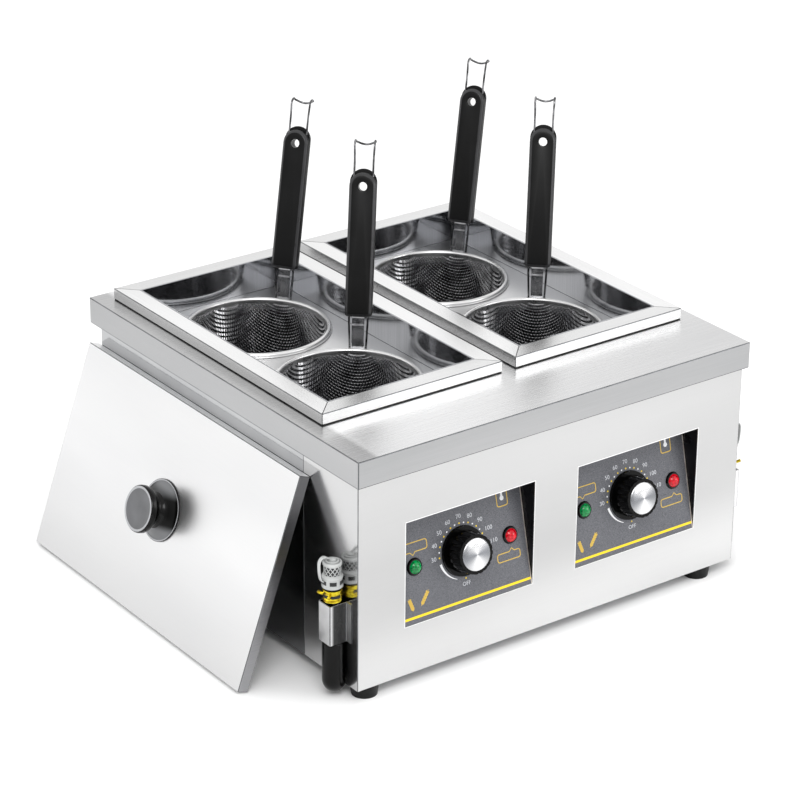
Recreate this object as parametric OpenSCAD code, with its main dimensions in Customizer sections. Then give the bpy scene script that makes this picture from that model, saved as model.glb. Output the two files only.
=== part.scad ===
// Countertop pasta cooker with two tanks, four lift-out baskets and two tilted control panels.
// Millimetres. X runs to the right along the front, Y runs to the back, Z is up from the table.
// The origin lies under the middle of the whole object, leaning lid and drain hoses included.

/* [Cabinet] */
// Distance from the rims to the worktop's left and right edges
side_margin = 18.35; // [16:0.05:30]
// Distance from the rims to the worktop's front edge
front_margin = 84.4; // [80:0.1:110]
// Distance from the rims to the worktop's back edge
rear_margin = 18.6; // [18.6:0.1:40]
// Gap between the rims of the two tanks
rim_gap = 16.1; // [8:0.1:30]
// Height of the worktop's folded edge
skirt_h = 27.5; // [22:0.5:34]
// Height of the cabinet below the worktop's edge
body_h = 217; // [212:1:250]
// How far the worktop stands over each side
side_overhang = 3.6; // [2.5:0.1:8]
// How far the worktop stands over the front
front_overhang = 5.6; // [3:0.1:12]
// How far the worktop stands over the back
rear_overhang = 16; // [14.5:0.5:22]
// Thickness of the sheet steel
sheet = 1.2; // [0.8:0.1:1.6]
// Depth of the front fascia's side returns
wrap_d = 88.5; // [75:0.5:110]
// Open seam between the fascia and each side panel
seam = 0.4; // [0.2:0.1:0.8]
// Height of the rubber feet
foot_h = 12.8; // [12.5:0.1:16]
// Radius of a foot at its top
foot_top_r = 14.4; // [12.5:0.1:14.8]
// Radius of a foot on the table
foot_bottom_r = 12.8; // [10:0.1:14]
// Distance from the cabinet's left side to the left feet
foot_inset_left = 18; // [17.5:0.5:40]
// Distance from the cabinet's right side to the right feet
foot_inset_right = 35.4; // [17.4:0.5:50]
// Distance from the cabinet's front and back to the feet
foot_inset_y = 14.2; // [13.8:0.1:15]

/* [Tanks] */
// Distance from the basket rings to the tank's side walls
ring_side = 9.2; // [4:0.1:20]
// Distance from the basket rings to the tank's front and back walls
ring_end = 9.15; // [4:0.05:20]
// Height of the tank floor above the table
tank_floor_z = 70; // [67:0.5:76]
// Width of the flat rim round a tank
rim_band = 21; // [16:0.5:24]
// Height of the rim above the worktop
rim_h = 12.2; // [9:0.1:16]
// Thickness of the seal under the rim
seal_h = 1.2; // [0.8:0.1:2]
// Depth of the basket plate below the worktop
plate_drop = 22.4; // [16:0.1:30]
// Depth of the plate's folded front and back edges
plate_fold = 9; // [6:0.5:14]
// Gap between the plate and the tank walls
plate_gap = 0.4; // [0.3:0.1:1]
// Radius of the heating tube
element_r = 4; // [3:0.1:5]
// Height of the heating tube's middle above the tank floor
element_lift = 15; // [12:0.5:18]

/* [Baskets] */
// Outer radius of the mesh
mesh_r = 70.2; // [64:0.1:76]
// Thickness of the mesh
mesh_t = 1.2; // [0.9:0.1:2]
// Radius of the mesh's bottom corner
mesh_corner_r = 26; // [16:0.5:34]
// Gap between the heating tube and the baskets
basket_clear = 15.9; // [11:0.1:40]
// Gap between the rings of the two baskets of a tank
basket_gap = 8.3; // [3:0.1:20]
// Distance of the baskets' middle behind the tank's middle
basket_shift = 1.5; // [-2:0.5:3]
// Width of the rim ring's flat flange
ring_band = 5.4; // [4.5:0.1:6]
// Radius of the rim ring's rolled bead
bead_r = 1.9; // [1.4:0.1:2.4]
// Direction of the handles of the rear baskets, counted from the right
rear_turn = 36; // [30:1:45]
// Direction of the handles of the front baskets, counted from the right
front_turn = 48; // [40:1:55]
// Length of a handle's bracket
bracket_l = 34; // [28:0.5:42]
// Outward lean of the bracket
bracket_lean = 9; // [5:0.5:12]
// Length of a grip
grip_l = 149; // [120:1:170]
// Width of a grip
grip_w = 27.5; // [26:0.5:32]
// Thickness of a grip
grip_t = 14; // [13:0.5:18]
// Outward lean of the grip
grip_lean = 18; // [12:0.5:24]
// Radius of the hanging hole
hang_hole_r = 4.5; // [3:0.1:5]
// Radius of the handle wire
wire_r = 1; // [0.8:0.1:1.2]
// Height of the hook above the grip
hook_h = 22; // [16:0.5:30]
// Distance between the wire's two legs in the grip
wire_gap = 19; // [17:0.5:20]

/* [Control panels] */
// Width of a window
win_w = 154.3; // [150:0.1:160]
// Height of a window
win_h = 111.3; // [108:0.1:118]
// Height of a window's lower edge above the table
win_z = 64.9; // [64:0.1:70]
// Distance from the cabinet's middle to each window's middle
win_x = 104; // [98:0.5:110]
// Backward tilt of the panel
panel_tilt = 13.3; // [11:0.1:15]
// Thickness of the printed panel
panel_t = 1; // [0.6:0.1:1.5]
// Height of the dial's middle up the panel
dial_v = 55.4; // [52:0.1:58]
// Distance from the window's sides to the lamps
lamp_margin = 19.65; // [15:0.05:24]
// Radius of a lamp's bezel
lamp_r = 9; // [7.5:0.1:10]
// Radius of a knob's skirt
knob_r = 25.2; // [22:0.1:28]
// Height of a knob above the panel
knob_h = 24.6; // [22:0.1:28]
// Radius of a knob's metal cap
knob_cap_r = 16.4; // [12:0.1:17]
// Radius of the thermostat shaft
shaft_r = 3; // [2.5:0.1:3.5]

/* [Drain hoses] */
// Outer radius of the hose
hose_r = 8.2; // [7.4:0.1:8.4]
// Radius of the hose's bore
hose_bore_r = 5.5; // [4.5:0.1:6]
// Radius of the inner hose's bends along its middle
hose_bend_r = 14; // [13:0.5:16]
// Outer radius of the moulded elbow below the holder
elbow_r = 10.3; // [10:0.1:11]
// Height of the elbow's lowest point above the table
elbow_low_z = 4.2; // [3.5:0.1:6]
// Gap between the cabinet's side and the elbow
elbow_gap = 0.3; // [0.3:0.1:1.5]
// Distance of the upright hose behind the cabinet's front
hose_inset_y = 26.3; // [24:0.1:32]
// Height of the hose's end above the table
hose_top_z = 119; // [118:0.5:134]
// Height of the holder's lower edge above the table
sleeve_z = 60.6; // [50:0.2:64]
// Height of the holder
sleeve_h = 42; // [32:0.5:44]
// Radius of the white collar
collar_r = 10.3; // [9.8:0.1:10.5]
// Radius of the drain cap
cap_r = 9.4; // [8.5:0.1:9.8]

/* [Lid] */
// How much wider than the rim the lid is
lid_play_w = 7.8; // [5:0.1:14]
// How much longer than the rim the lid is
lid_play_l = 9; // [5:0.5:16]
// Depth of the lid's folded edge
lid_h = 11.6; // [8:0.1:16]
// Steepest lean of the lid from the table
lid_lean_max = 70.6; // [60:0.2:72]
// Distance of the lid's middle behind the worktop's middle
lid_y = 36.4; // [30:0.5:44]
// Radius of the lid knob's base
lid_knob_base_r = 31.6; // [26:0.1:36]
// Radius of the lid knob's top
lid_knob_cap_r = 24; // [20:0.1:25]
// Height of the lid knob
lid_knob_h = 28.7; // [24:0.1:34]

/* [Hidden] */
$fn = 64;
eps = 0.01;
// Clearances: pieces that only rest together, sliding or turning fits, and holes round screws
rest_gap = 0.1;
run_gap = 0.05;
hole_gap = 0.2;

// Tanks from the baskets, worktop from the tanks
ring_hole_r = mesh_r + 0.1;
ring_skirt_r = ring_hole_r + 0.9;
ring_out_r = ring_skirt_r + ring_band;
basket_pitch = 2 * ring_out_r + basket_gap;
tank_w = 2 * (ring_out_r + ring_side);
tank_l = basket_pitch + 2 * (ring_out_r + ring_end);
rim_w = tank_w + 2 * rim_band;
rim_l = tank_l + 2 * rim_band;
tank_pitch = rim_w + rim_gap;
tank_y = (front_margin - rear_margin) / 2;
top_w = tank_pitch + rim_w + 2 * side_margin;
top_d = rim_l + front_margin + rear_margin;

// Heights and faces of the cabinet
top_z = foot_h + body_h + skirt_h;
panel_top_z = top_z - sheet;
side_x = top_w / 2 - side_overhang;
front_y = -top_d / 2 + front_overhang;
back_y = top_d / 2 - rear_overhang;
seam_y = front_y + wrap_d;
flange_w = 15;
rim_z = top_z + rim_h;
tank_front_y = tank_y - tank_l / 2;
plate_z = top_z - plate_drop;
foot_fronts = [front_y + foot_inset_y, back_y - foot_inset_y];
foot_sides = [-side_x + foot_inset_left, side_x - foot_inset_right];
foot_recess_h = 5;
screw_r = 2;
head_r = 4;
head_h = 2.2;

// Handle path: bracket foot on the ring, knee at the grip's lower end, grip top and leg top
basket_depth = plate_z - tank_floor_z - element_lift - element_r - basket_clear;
plate_hole_r = ring_skirt_r + 1.6;
bead_mid_r = ring_skirt_r + 1.5;
bead_mid_z = rest_gap + sheet + bead_r * 0.7;
bracket_r = bead_mid_r + bead_r + 1.6;
bracket_z = rest_gap + sheet + 0.05;
knee = [bracket_r + bracket_l * sin(bracket_lean), bracket_z + bracket_l * cos(bracket_lean)];
grip_top = knee + grip_l * [sin(grip_lean), cos(grip_lean)];
leg_top = knee + (grip_l + hook_h) * [sin(grip_lean), cos(grip_lean)];
hang_hole_v = grip_l - grip_w / 2 - 4;

// Panel frame: u to the right, v up the panel, n out of it
panel_l = win_h / cos(panel_tilt);
lamp_u = win_w / 2 - lamp_margin;
back_plane = [for (z = [0, win_h + sheet]) panel_t / cos(panel_tilt) + z * tan(panel_tilt)];

// Drain: an upright hose outside, an elbow through a notch in the side, an inner hose to the tank outlet
hose_x = side_x + elbow_gap + elbow_r;
hose_y = front_y + hose_inset_y;
hose_turn = 32;
climb = 20;
climb_l = 26;
run_turn = 36;
run_l = 60;
elbow_bend_r = 6;
elbow_z = elbow_low_z + elbow_bend_r + elbow_r;
socket_l = 12;
elbow_reach = elbow_bend_r * (1 + sin(climb));
level_reach = elbow_reach + climb_l * cos(climb) + hose_bend_r * sin(climb);
run_z = elbow_z - elbow_bend_r * cos(climb) + climb_l * sin(climb) + hose_bend_r * (1 - cos(climb));
outlet_h = tank_floor_z - sheet - 1 - run_z - hose_bend_r;
function polar(r, a) = r * [cos(a), sin(a)];
outlet = [hose_x, hose_y] + polar(level_reach, 180 - hose_turn) + polar(hose_bend_r, 90 - hose_turn)
    - polar(hose_bend_r, 90 - hose_turn - run_turn)
    + polar(run_l + hose_bend_r, 180 - hose_turn - run_turn);
stub_bore_r = hose_bore_r - 1.2;
hose_notch_w = 2 * elbow_r + 5.4;
hose_notch_h = 2 * hose_r;
collar_h = 12;
valve_h = 11;
cap_h = 5;
strap_w = 3.4;
strap_t = 1.2;
strap_loop_r = 6;
strap_reach = collar_r + 5.5;

// The leaning lid: its lower edge rests on the table and its upper edge against the left side
lid_gap = 0.3;
lid_w = rim_w + lid_play_w;
lid_l = rim_l + lid_play_l;
lid_drop = 14;
lid_room = top_z - skirt_h - lid_drop - lid_gap;
lid_diagonal = norm([lid_w, lid_h]);
lid_lean = min(lid_lean_max, asin(min(1, lid_room / lid_diagonal)) - atan(lid_h / lid_w));
lid_low_z = lid_gap + lid_h * cos(lid_lean);
lid_low_x = -side_x - lid_gap - lid_w * cos(lid_lean) - lid_h * sin(lid_lean);

// The origin is under the middle of the whole width
left_reach = -lid_low_x;
right_reach = hose_x + strap_reach;
shift_x = (left_reach - right_reach) / 2;

module place() {
    translate([shift_x, 0, 0]) children();
}

module block(low, high) {
    translate(low) cube(high - low);
}

// A box with its middle at x, y and its lower face at z
module slab(x, y, z, size) {
    translate([x - size[0] / 2, y - size[1] / 2, z]) cube(size);
}

// Tube of constant radius swept along points, with flat ends
function unit(v) = v / norm(v);
function heading(p, i) = unit(p[min(i + 1, len(p) - 1)] - p[max(i - 1, 0)]);
function side_of(d, up) = unit(cross(d, up));
module sweep(p, r, sides, up) {
    skin([for (i = [0:len(p) - 1]) let (d = heading(p, i), a = side_of(d, up), b = cross(d, a))
        for (k = [0:sides - 1]) p[i] + r * (a * cos(k * 360 / sides) + b * sin(k * 360 / sides))], sides);
}

// Closed surface over rings of points that follow each other, with a flat face at each end
module skin(points, sides) {
    n = len(points) / sides;
    walls = [for (i = [0:n - 2], k = [0:sides - 1])
        let (j = (k + 1) % sides, low = i * sides, high = low + sides)
        each [[low + k, high + k, high + j], [low + k, high + j, low + j]]];
    ends = [[for (k = [0:sides - 1]) k], [for (k = [sides - 1:-1:0]) (n - 1) * sides + k]];
    polyhedron(points = points, faces = concat(walls, ends), convexity = 6);
}

// Cabinet panels
module worktop() {
    color("gainsboro") place() difference() {
        block([-top_w / 2, -top_d / 2, top_z - skirt_h], [top_w / 2, top_d / 2, top_z]);
        block([-top_w / 2 + sheet, -top_d / 2 + sheet, top_z - skirt_h + sheet],
            [top_w / 2 - sheet, top_d / 2 - sheet, top_z - sheet]);
        block([-side_x - lid_gap, front_y - lid_gap, top_z - skirt_h - 1],
            [side_x + lid_gap, back_y + lid_gap, top_z - skirt_h + 2 * sheet]);
        for (side = [-1, 1]) tank_cutout(side);
    }
}

module tank_cutout(side) {
    cutout_gap = 1;
    slab(side * tank_pitch / 2, tank_y, top_z - 3 * sheet,
        [tank_w + 2 * sheet + 2 * cutout_gap, tank_l + 2 * sheet + 2 * cutout_gap, 6 * sheet]);
}

// Round-topped slot in the lower edge where the drain hose leaves the cabinet
module hose_notch(side) {
    y = hose_y + (hose_x - side_x) * tan(hose_turn);
    slab(side * side_x, y, foot_h - 1, [8, hose_notch_w, hose_notch_h + 1]);
}

module front_fascia() {
    color("whitesmoke") place() difference() {
        union() {
            block([-side_x, front_y, foot_h], [side_x, front_y + sheet, panel_top_z]);
            for (side = [-1, 1])
                slab(side * (side_x - sheet / 2), front_y + wrap_d / 2, foot_h,
                    [sheet, wrap_d, panel_top_z - foot_h]);
        }
        for (side = [-1, 1]) {
            slab(side * win_x, front_y, win_z, [win_w, 4 * sheet, win_h]);
            hose_notch(side);
        }
    }
}

module side_panel(side) {
    h = panel_top_z - foot_h;
    color("silver") place() union() {
        slab(side * (side_x - sheet / 2), (seam_y + seam + back_y) / 2, foot_h,
            [sheet, back_y - seam_y - seam, h]);
        slab(side * (side_x - sheet * 1.5), seam_y, foot_h, [sheet, 2 * flange_w, h]);
        difference() {
            slab(side * (side_x - flange_w / 2 - sheet / 2), back_y - sheet * 1.5, foot_h + 2 * sheet,
                [flange_w, sheet, h - 2 * sheet]);
            for (z = back_screw_heights) back_screw_hole(side, z);
        }
    }
}

back_screw_heights = [for (share = [0.1, 0.45, 0.8]) foot_h + share * (panel_top_z - foot_h)];
back_screw_x = side_x - flange_w / 2 - sheet / 2;
module back_screw_hole(side, z) {
    translate([side * back_screw_x, back_y + 1, z]) rotate([90, 0, 0])
        cylinder(h = 4 * sheet + 1, r = screw_r + hole_gap);
}

gland_x = -150;
gland_lift = 45;
gland_z = foot_h + gland_lift;
gland_r = 8;
module back_panel() {
    half = side_x - sheet - 0.2;
    louvre_w = 90;
    louvre_h = 3;
    louvre_pitch = 12;
    louvre_z = foot_h + body_h / 2 + 11.5;
    color("silver") place() difference() {
        block([-half, back_y - sheet, foot_h], [half, back_y, panel_top_z]);
        for (side = [-1, 1]) {
            for (z = back_screw_heights) back_screw_hole(side, z);
            for (i = [0:5])
                slab(side * win_x, back_y, louvre_z + i * louvre_pitch, [louvre_w, 4 * sheet, louvre_h]);
        }
        translate([gland_x, back_y + 1, gland_z]) rotate([90, 0, 0])
            cylinder(h = 2 * sheet + 1, r = gland_r + hole_gap);
    }
}

module bottom_plate() {
    half = side_x - 2 * sheet - 0.2;
    low_y = front_y + sheet + 0.2;
    high_y = back_y - 2 * sheet - 0.2;
    fold_h = 14;
    color("silver") place() difference() {
        block([-half, low_y, foot_h], [half, high_y, foot_h + fold_h]);
        block([-half + sheet, low_y + sheet, foot_h + sheet],
            [half - sheet, high_y - sheet, foot_h + fold_h + 1]);
        for (side = [-1, 1]) mirrored(side) translate([hose_x, hose_y, foot_h - 1])
            rotate([0, 0, 180 - hose_turn]) hose_slot();
        for (x = foot_sides, y = foot_fronts) translate([x, y, foot_h - 1])
            cylinder(h = sheet + 2, r = screw_r + hole_gap);
    }
}

// Slot in the floor along the climbing stretch of the inner hose
module hose_slot() {
    reach = level_reach - 5;
    translate([0, -hose_r - 1, 0]) cube([reach, 2 * hose_r + 2, 20]);
    translate([reach, 0, 0]) cylinder(h = 20, r = hose_r + 1);
}

module feet() {
    color("dimgray") place() for (x = foot_sides, y = foot_fronts) translate([x, y, 0]) difference() {
        cylinder(h = foot_h, r1 = foot_bottom_r, r2 = foot_top_r);
        translate([0, 0, -1]) cylinder(h = foot_recess_h + 1, r = head_r + 1);
        cylinder(h = foot_h + 1, r = screw_r + hole_gap);
    }
}

// Foot screws with nuts inside, and the back panel's screws
module screws() {
    head_z = foot_recess_h - head_h;
    back_screw_l = 8;
    nut_h = 3.2;
    color("lightgray") place() {
        for (x = foot_sides, y = foot_fronts) translate([x, y, 0]) {
            translate([0, 0, head_z]) cylinder(h = head_h - rest_gap, r = head_r);
            translate([0, 0, head_z]) cylinder(h = foot_h + sheet + nut_h + 1 - head_z, r = screw_r);
            translate([0, 0, foot_h + sheet + rest_gap]) cylinder(h = nut_h, r = head_r, $fn = 6);
        }
        for (side = [-1, 1], z = back_screw_heights) translate([side * back_screw_x, back_y, z])
            rotate([90, 0, 0]) {
            translate([0, 0, -head_h]) cylinder(h = head_h, r = head_r);
            cylinder(h = back_screw_l, r = screw_r);
        }
    }
}

// Tanks with their rims, seals and the lugs that carry the basket plates
module tank(side) {
    x = side * tank_pitch / 2;
    stub_h = 12;
    color("silver") place() difference() {
        union() {
            slab(x, tank_y, tank_floor_z - sheet,
                [tank_w + 2 * sheet, tank_l + 2 * sheet, rim_z - tank_floor_z + sheet]);
            translate([side * outlet[0], outlet[1], tank_floor_z - sheet - stub_h])
                cylinder(h = stub_h + eps, r = hose_bore_r - run_gap);
        }
        slab(x, tank_y, tank_floor_z, [tank_w, tank_l, rim_z]);
        translate([side * outlet[0], outlet[1], tank_floor_z - 20]) cylinder(h = 21, r = stub_bore_r);
        for (leg = [-1, 1])
            translate([x + leg * element_reach, tank_front_y + 1, tank_floor_z + element_lift])
                rotate([90, 0, 0]) cylinder(h = sheet + 2, r = element_r + hole_gap);
        translate([x, tank_front_y + 1, probe_z]) rotate([90, 0, 0])
            cylinder(h = sheet + 2, r = probe_r + hole_gap);
    }
}

// Each rim is four folded strips that meet in mitres
module tank_rims() {
    inner_gap = 0.3;
    mitre_w = 0.4;
    wall = 2 * (sheet + inner_gap);
    color("gainsboro") place() for (side = [-1, 1])
        translate([side * tank_pitch / 2, tank_y, top_z]) difference() {
            slab(0, 0, seal_h, [rim_w, rim_l, rim_h - seal_h]);
            slab(0, 0, 0, [rim_w - 2 * sheet, rim_l - 2 * sheet, rim_h - sheet]);
            slab(0, 0, 0, [tank_w + wall, tank_l + wall, rim_h + 1]);
            for (sx = [-1, 1], sy = [-1, 1]) translate([sx * rim_w / 2, sy * rim_l / 2, 0])
                rotate([0, 0, sx * sy * 45]) slab(0, 0, 0, [3 * rim_band, mitre_w, rim_h + 1]);
        }
}

module rim_seals() {
    inset = 0.6;
    seal_w = 3;
    seal_x = rim_w - 2 * inset;
    seal_y = rim_l - 2 * inset;
    color("black") place() for (side = [-1, 1]) translate([side * tank_pitch / 2, tank_y, 0]) difference() {
        slab(0, 0, top_z, [seal_x, seal_y, seal_h]);
        slab(0, 0, top_z - 1, [seal_x - 2 * seal_w, seal_y - 2 * seal_w, seal_h + 2]);
    }
}

module plate_lugs() {
    lug_w = 20;
    lug_d = 8;
    lug_h = 12;
    lug_shares = [-0.3, 0.3];
    lug_z = plate_z - sheet - rest_gap;
    color("silver") place() for (side = [-1, 1], wall = [-1, 1], share = lug_shares)
        translate([side * tank_pitch / 2 + wall * tank_w / 2, tank_y + share * tank_l, lug_z]) {
            slab(-wall * lug_d / 2, 0, -sheet, [lug_d, lug_w, sheet]);
            slab(-wall * sheet / 2, 0, -lug_h, [sheet, lug_w, lug_h]);
        }
}

function basket_y(row) = tank_y + basket_shift + row * basket_pitch / 2;

module basket_plate(side) {
    size = [tank_w - 2 * plate_gap, tank_l - 2 * plate_gap];
    color("lightgray") place() translate([side * tank_pitch / 2, 0, 0]) difference() {
        slab(0, tank_y, plate_z - plate_fold, [size[0], size[1], plate_fold]);
        slab(0, tank_y, plate_z - plate_fold - 1, [size[0] + 2, size[1] - 2 * sheet,
            plate_fold + 1 - sheet]);
        for (row = [-1, 1]) translate([0, basket_y(row), plate_z - 2 * sheet])
            cylinder(h = 3 * sheet, r = plate_hole_r, $fn = 96);
    }
}

// Baskets: 1 rear left, 2 front left, 3 rear right, 4 front right
basket_side = [-1, -1, 1, 1];
basket_row = [1, -1, 1, -1];
function basket_turn(i) = basket_row[i] > 0 ? rear_turn : front_turn;
module at_basket(i) {
    place() translate([basket_side[i] * tank_pitch / 2, basket_y(basket_row[i]), plate_z]) children();
}

// Frames along the handle: local z runs up the bracket or the grip, local x faces away from the basket
module at_bracket(i) {
    at_basket(i) rotate([0, 0, basket_turn(i)]) translate([bracket_r, 0, bracket_z])
        rotate([0, bracket_lean, 0]) children();
}
module at_grip(i) {
    at_basket(i) rotate([0, 0, basket_turn(i)]) translate([knee[0], 0, knee[1]])
        rotate([0, grip_lean, 0]) children();
}

module ring(i) {
    skirt_d = 8;
    color("silver") at_basket(i) rotate_extrude($fn = 96) {
        translate([ring_hole_r, rest_gap]) square([ring_out_r - ring_hole_r, sheet]);
        translate([ring_hole_r, -skirt_d]) square([ring_skirt_r - ring_hole_r, skirt_d + sheet + rest_gap]);
        translate([bead_mid_r, bead_mid_z]) circle(r = bead_r, $fn = 24);
    }
}

module mesh_profile(r, low, corner) {
    top = -0.5;
    translate([0, low + corner]) square([r, top - low - corner]);
    translate([0, low]) square([r - corner, corner + eps]);
    intersection() {
        translate([r - corner, low + corner]) circle(r = corner);
        translate([r - corner, low]) square([corner, corner + eps]);
    }
}

// Coarse grid of openings: windows round the wall in rows, and square holes in the floor
module mesh_openings() {
    around = 24;
    rows = 5;
    rib = 4.6;
    top_band = 11;
    floor_band = 4;
    row_pitch = (basket_depth - top_band - floor_band) / rows;
    window_w = 2 * PI * mesh_r / around - rib;
    hole = 9;
    flat_half = (mesh_r - mesh_corner_r + 1) * sqrt(0.5);
    holes = floor((flat_half - hole / 2) / (hole + rib));
    for (k = [0:around / 2 - 1], row = [0:rows - 1]) rotate([0, 0, (k + 0.5) * 360 / around])
        slab(0, 0, floor_band - basket_depth + row * row_pitch,
            [2 * mesh_r + 2, window_w, row_pitch - rib]);
    for (x = [-holes:holes], y = [-holes:holes])
        slab(x * (hole + rib), y * (hole + rib), -basket_depth - 1, [hole, hole, mesh_t + 1.5]);
}

module mesh(i) {
    color("gray") at_basket(i) difference() {
        rotate_extrude($fn = 96) difference() {
            mesh_profile(mesh_r, -basket_depth, mesh_corner_r);
            translate([0, eps]) mesh_profile(mesh_r - mesh_t, -basket_depth + mesh_t,
                mesh_corner_r - mesh_t);
            translate([0, -1]) square([mesh_r - mesh_t, 4]);
        }
        mesh_openings();
    }
}

// Folded channel between the two wire legs, with its bent foot on the ring and its tang in the grip
bracket_w = wire_gap - 2 * wire_r - 4.6;
tang_l = 18;
module bracket(i) {
    flange_d = 5;
    flange_x = (sheet - flange_d) / 2;
    flange_end = 8;
    foot_t = 2.4;
    color("silver") {
        at_bracket(i) {
            slab(0, 0, foot_t / 2, [sheet, bracket_w, bracket_l - foot_t / 2]);
            for (edge = [-1, 1]) slab(flange_x, edge * (bracket_w - sheet) / 2, flange_end,
                [flange_d, sheet, bracket_l - 2 * flange_end]);
            slab(flange_x, 0, bracket_l - flange_end - 1, [flange_d, bracket_w, sheet]);
        }
        at_grip(i) slab(0, 0, -1, [sheet, bracket_w, tang_l + 1]);
        at_basket(i) rotate([0, 0, basket_turn(i)])
            block([bead_mid_r + bead_r + 0.05, -bracket_w / 2, bracket_z],
                [bracket_r + sheet, bracket_w / 2, bracket_z + foot_t]);
    }
}

// Wire from one foot up through the grip, over the hook and back down to the other foot
foot_gap = wire_gap - 2.6;
hook_bend_r = 6;
hook_sag = 5.5;
hook_turn = 125;
function leg(side) = [
    [bracket_r, side * foot_gap / 2, bracket_z + 1.4],
    [knee[0], side * wire_gap / 2, knee[1]],
    [grip_top[0], side * wire_gap / 2, grip_top[1]],
    [leg_top[0], side * (wire_gap / 2 + 0.5), leg_top[1]]];
hook_mid = leg_top + hook_bend_r * [cos(grip_lean), -sin(grip_lean)];
function hook(side) = [for (a = [25:25:hook_turn]) let (t = grip_lean + a)
    [hook_mid[0] - hook_bend_r * cos(t), side * (wire_gap / 2 + 0.5), hook_mid[1] + hook_bend_r * sin(t)]];
hook_end = hook(1)[len(hook(1)) - 1];
sag_way = [sin(grip_lean + hook_turn), cos(grip_lean + hook_turn)];
cross_wire = [for (y = [0.75:-0.25:-0.75]) let (sag = hook_sag * cos(90 * y))
    [hook_end[0] + sag * sag_way[0], y * hook_end[1], hook_end[2] + sag * sag_way[1]]];
function reversed(list) = [for (i = [len(list) - 1:-1:0]) list[i]];
wire_path = concat(leg(1), hook(1), cross_wire, reversed(hook(-1)), reversed(leg(-1)));

module wire(i) {
    color("silver") at_basket(i) rotate([0, 0, basket_turn(i)])
        sweep(wire_path, wire_r, 8, [0.35, 0.94, 0.05]);
}

module grip(i) {
    groove = 0.8;
    slot_gap = 0.3;
    color("dimgray") at_grip(i) difference() {
        rotate([90, 0, 90]) translate([0, 0, -grip_t / 2]) linear_extrude(grip_t) {
            translate([-grip_w / 2, 0.4]) square([grip_w, grip_l - grip_w / 2 - 0.4]);
            translate([0, grip_l - grip_w / 2]) circle(d = grip_w);
        }
        translate([0, 0, hang_hole_v]) rotate([0, 90, 0])
            cylinder(h = grip_t + 2, r = hang_hole_r, center = true);
        for (edge = [-1, 1]) {
            translate([0, edge * wire_gap / 2, -1])
                cylinder(h = grip_l + 2, r = wire_r + slot_gap, $fn = 24);
            slab(0, edge * grip_w / 2, 0, [groove, 2 * groove, grip_l - grip_w / 2]);
        }
        slab(0, 0, -1, [sheet + 2 * slot_gap, bracket_w + 2 * slot_gap, tang_l + 1.5]);
    }
}

// Control panels
module on_panel(side) {
    place() translate([side * win_x, front_y, win_z]) rotate([90 - panel_tilt, 0, 0]) children();
}

module on_dial(side) {
    on_panel(side) translate([0, dial_v, 0]) children();
}

lamp_hole_r = 6;
fixing_u = 14;
fixing_r = 1.5;
module panel_holes(shaft_hole_r) {
    translate([0, dial_v, -9]) cylinder(h = 12, r = shaft_hole_r);
    for (edge = [-1, 1]) {
        translate([edge * lamp_u, dial_v, -9]) cylinder(h = 12, r = lamp_hole_r + hole_gap);
        translate([edge * fixing_u, dial_v, -9]) cylinder(h = 12, r = fixing_r + hole_gap);
    }
}

// Wedge-shaped recess behind each window, whose sloping back carries the printed panel
module panel_pockets() {
    lip = 6;
    back = sheet / cos(panel_tilt);
    win_top = win_z + win_h;
    outer = [[sheet, win_z - lip], [2 * sheet, win_z - lip], [2 * sheet, win_z + 1],
        [back_plane[1] + back, win_top + sheet], [sheet, win_top + sheet]];
    inner = [[-1, win_z], [back_plane[0], win_z],
        [back_plane[0] + win_h * tan(panel_tilt), win_top], [-1, win_top]];
    color("silver") for (side = [-1, 1]) difference() {
        place() union() {
            difference() {
                translate([side * win_x - win_w / 2 - sheet, front_y, 0]) rotate([90, 0, 90])
                    linear_extrude(win_w + 2 * sheet) polygon(outer);
                translate([side * win_x - win_w / 2, front_y, 0]) rotate([90, 0, 90])
                    linear_extrude(win_w) polygon(inner);
            }
            difference() {
                slab(side * win_x, front_y + sheet * 1.5, win_z - lip,
                    [win_w + 2 * lip, sheet, win_h + 2 * lip]);
                slab(side * win_x, front_y + sheet * 1.5, win_z, [win_w, 3 * sheet, win_h]);
            }
        }
        on_panel(side) panel_holes(5);
    }
}

module control_panels() {
    edge_gap = 0.3;
    color("darkslategray") for (side = [-1, 1]) on_panel(side) difference() {
        translate([-win_w / 2 + edge_gap, edge_gap, -panel_t])
            cube([win_w - 2 * edge_gap, panel_l - 2 * edge_gap - 0.3, panel_t]);
        panel_holes(4.4);
    }
}

// Fluted grip with a flat skirt, hollow below for the screw heads and with a seat for the metal cap
module knob(side) {
    lift = 0.8;
    skirt_t = 2.6;
    body_r = knob_r - 4.2;
    top = knob_h - 2.2;
    flutes = 20;
    color("dimgray") on_dial(side) difference() {
        union() {
            translate([0, 0, lift]) cylinder(h = skirt_t, r1 = knob_r, r2 = knob_r - 0.6);
            translate([0, 0, lift + skirt_t - eps])
                cylinder(h = top - lift - skirt_t, r1 = body_r, r2 = body_r - 1.4);
        }
        for (k = [0:flutes - 1]) rotate([0, 0, k * 360 / flutes])
            translate([body_r + 0.6, 0, lift + skirt_t + 1.2])
            rotate([0, -3, 0]) cylinder(h = knob_h, r = 1.7, $fn = 20);
        difference() {
            cylinder(h = lift + 3, r = body_r - 2.4);
            cylinder(h = lift + 4, r = 7);
        }
        translate([0, 0, top - 1.4]) cylinder(h = 4, r = knob_cap_r + 0.05);
        cylinder(h = knob_h - 8, r = shaft_r + run_gap);
        cylinder(h = lift + 0.4, r = 7 + eps);
    }
}

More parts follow.
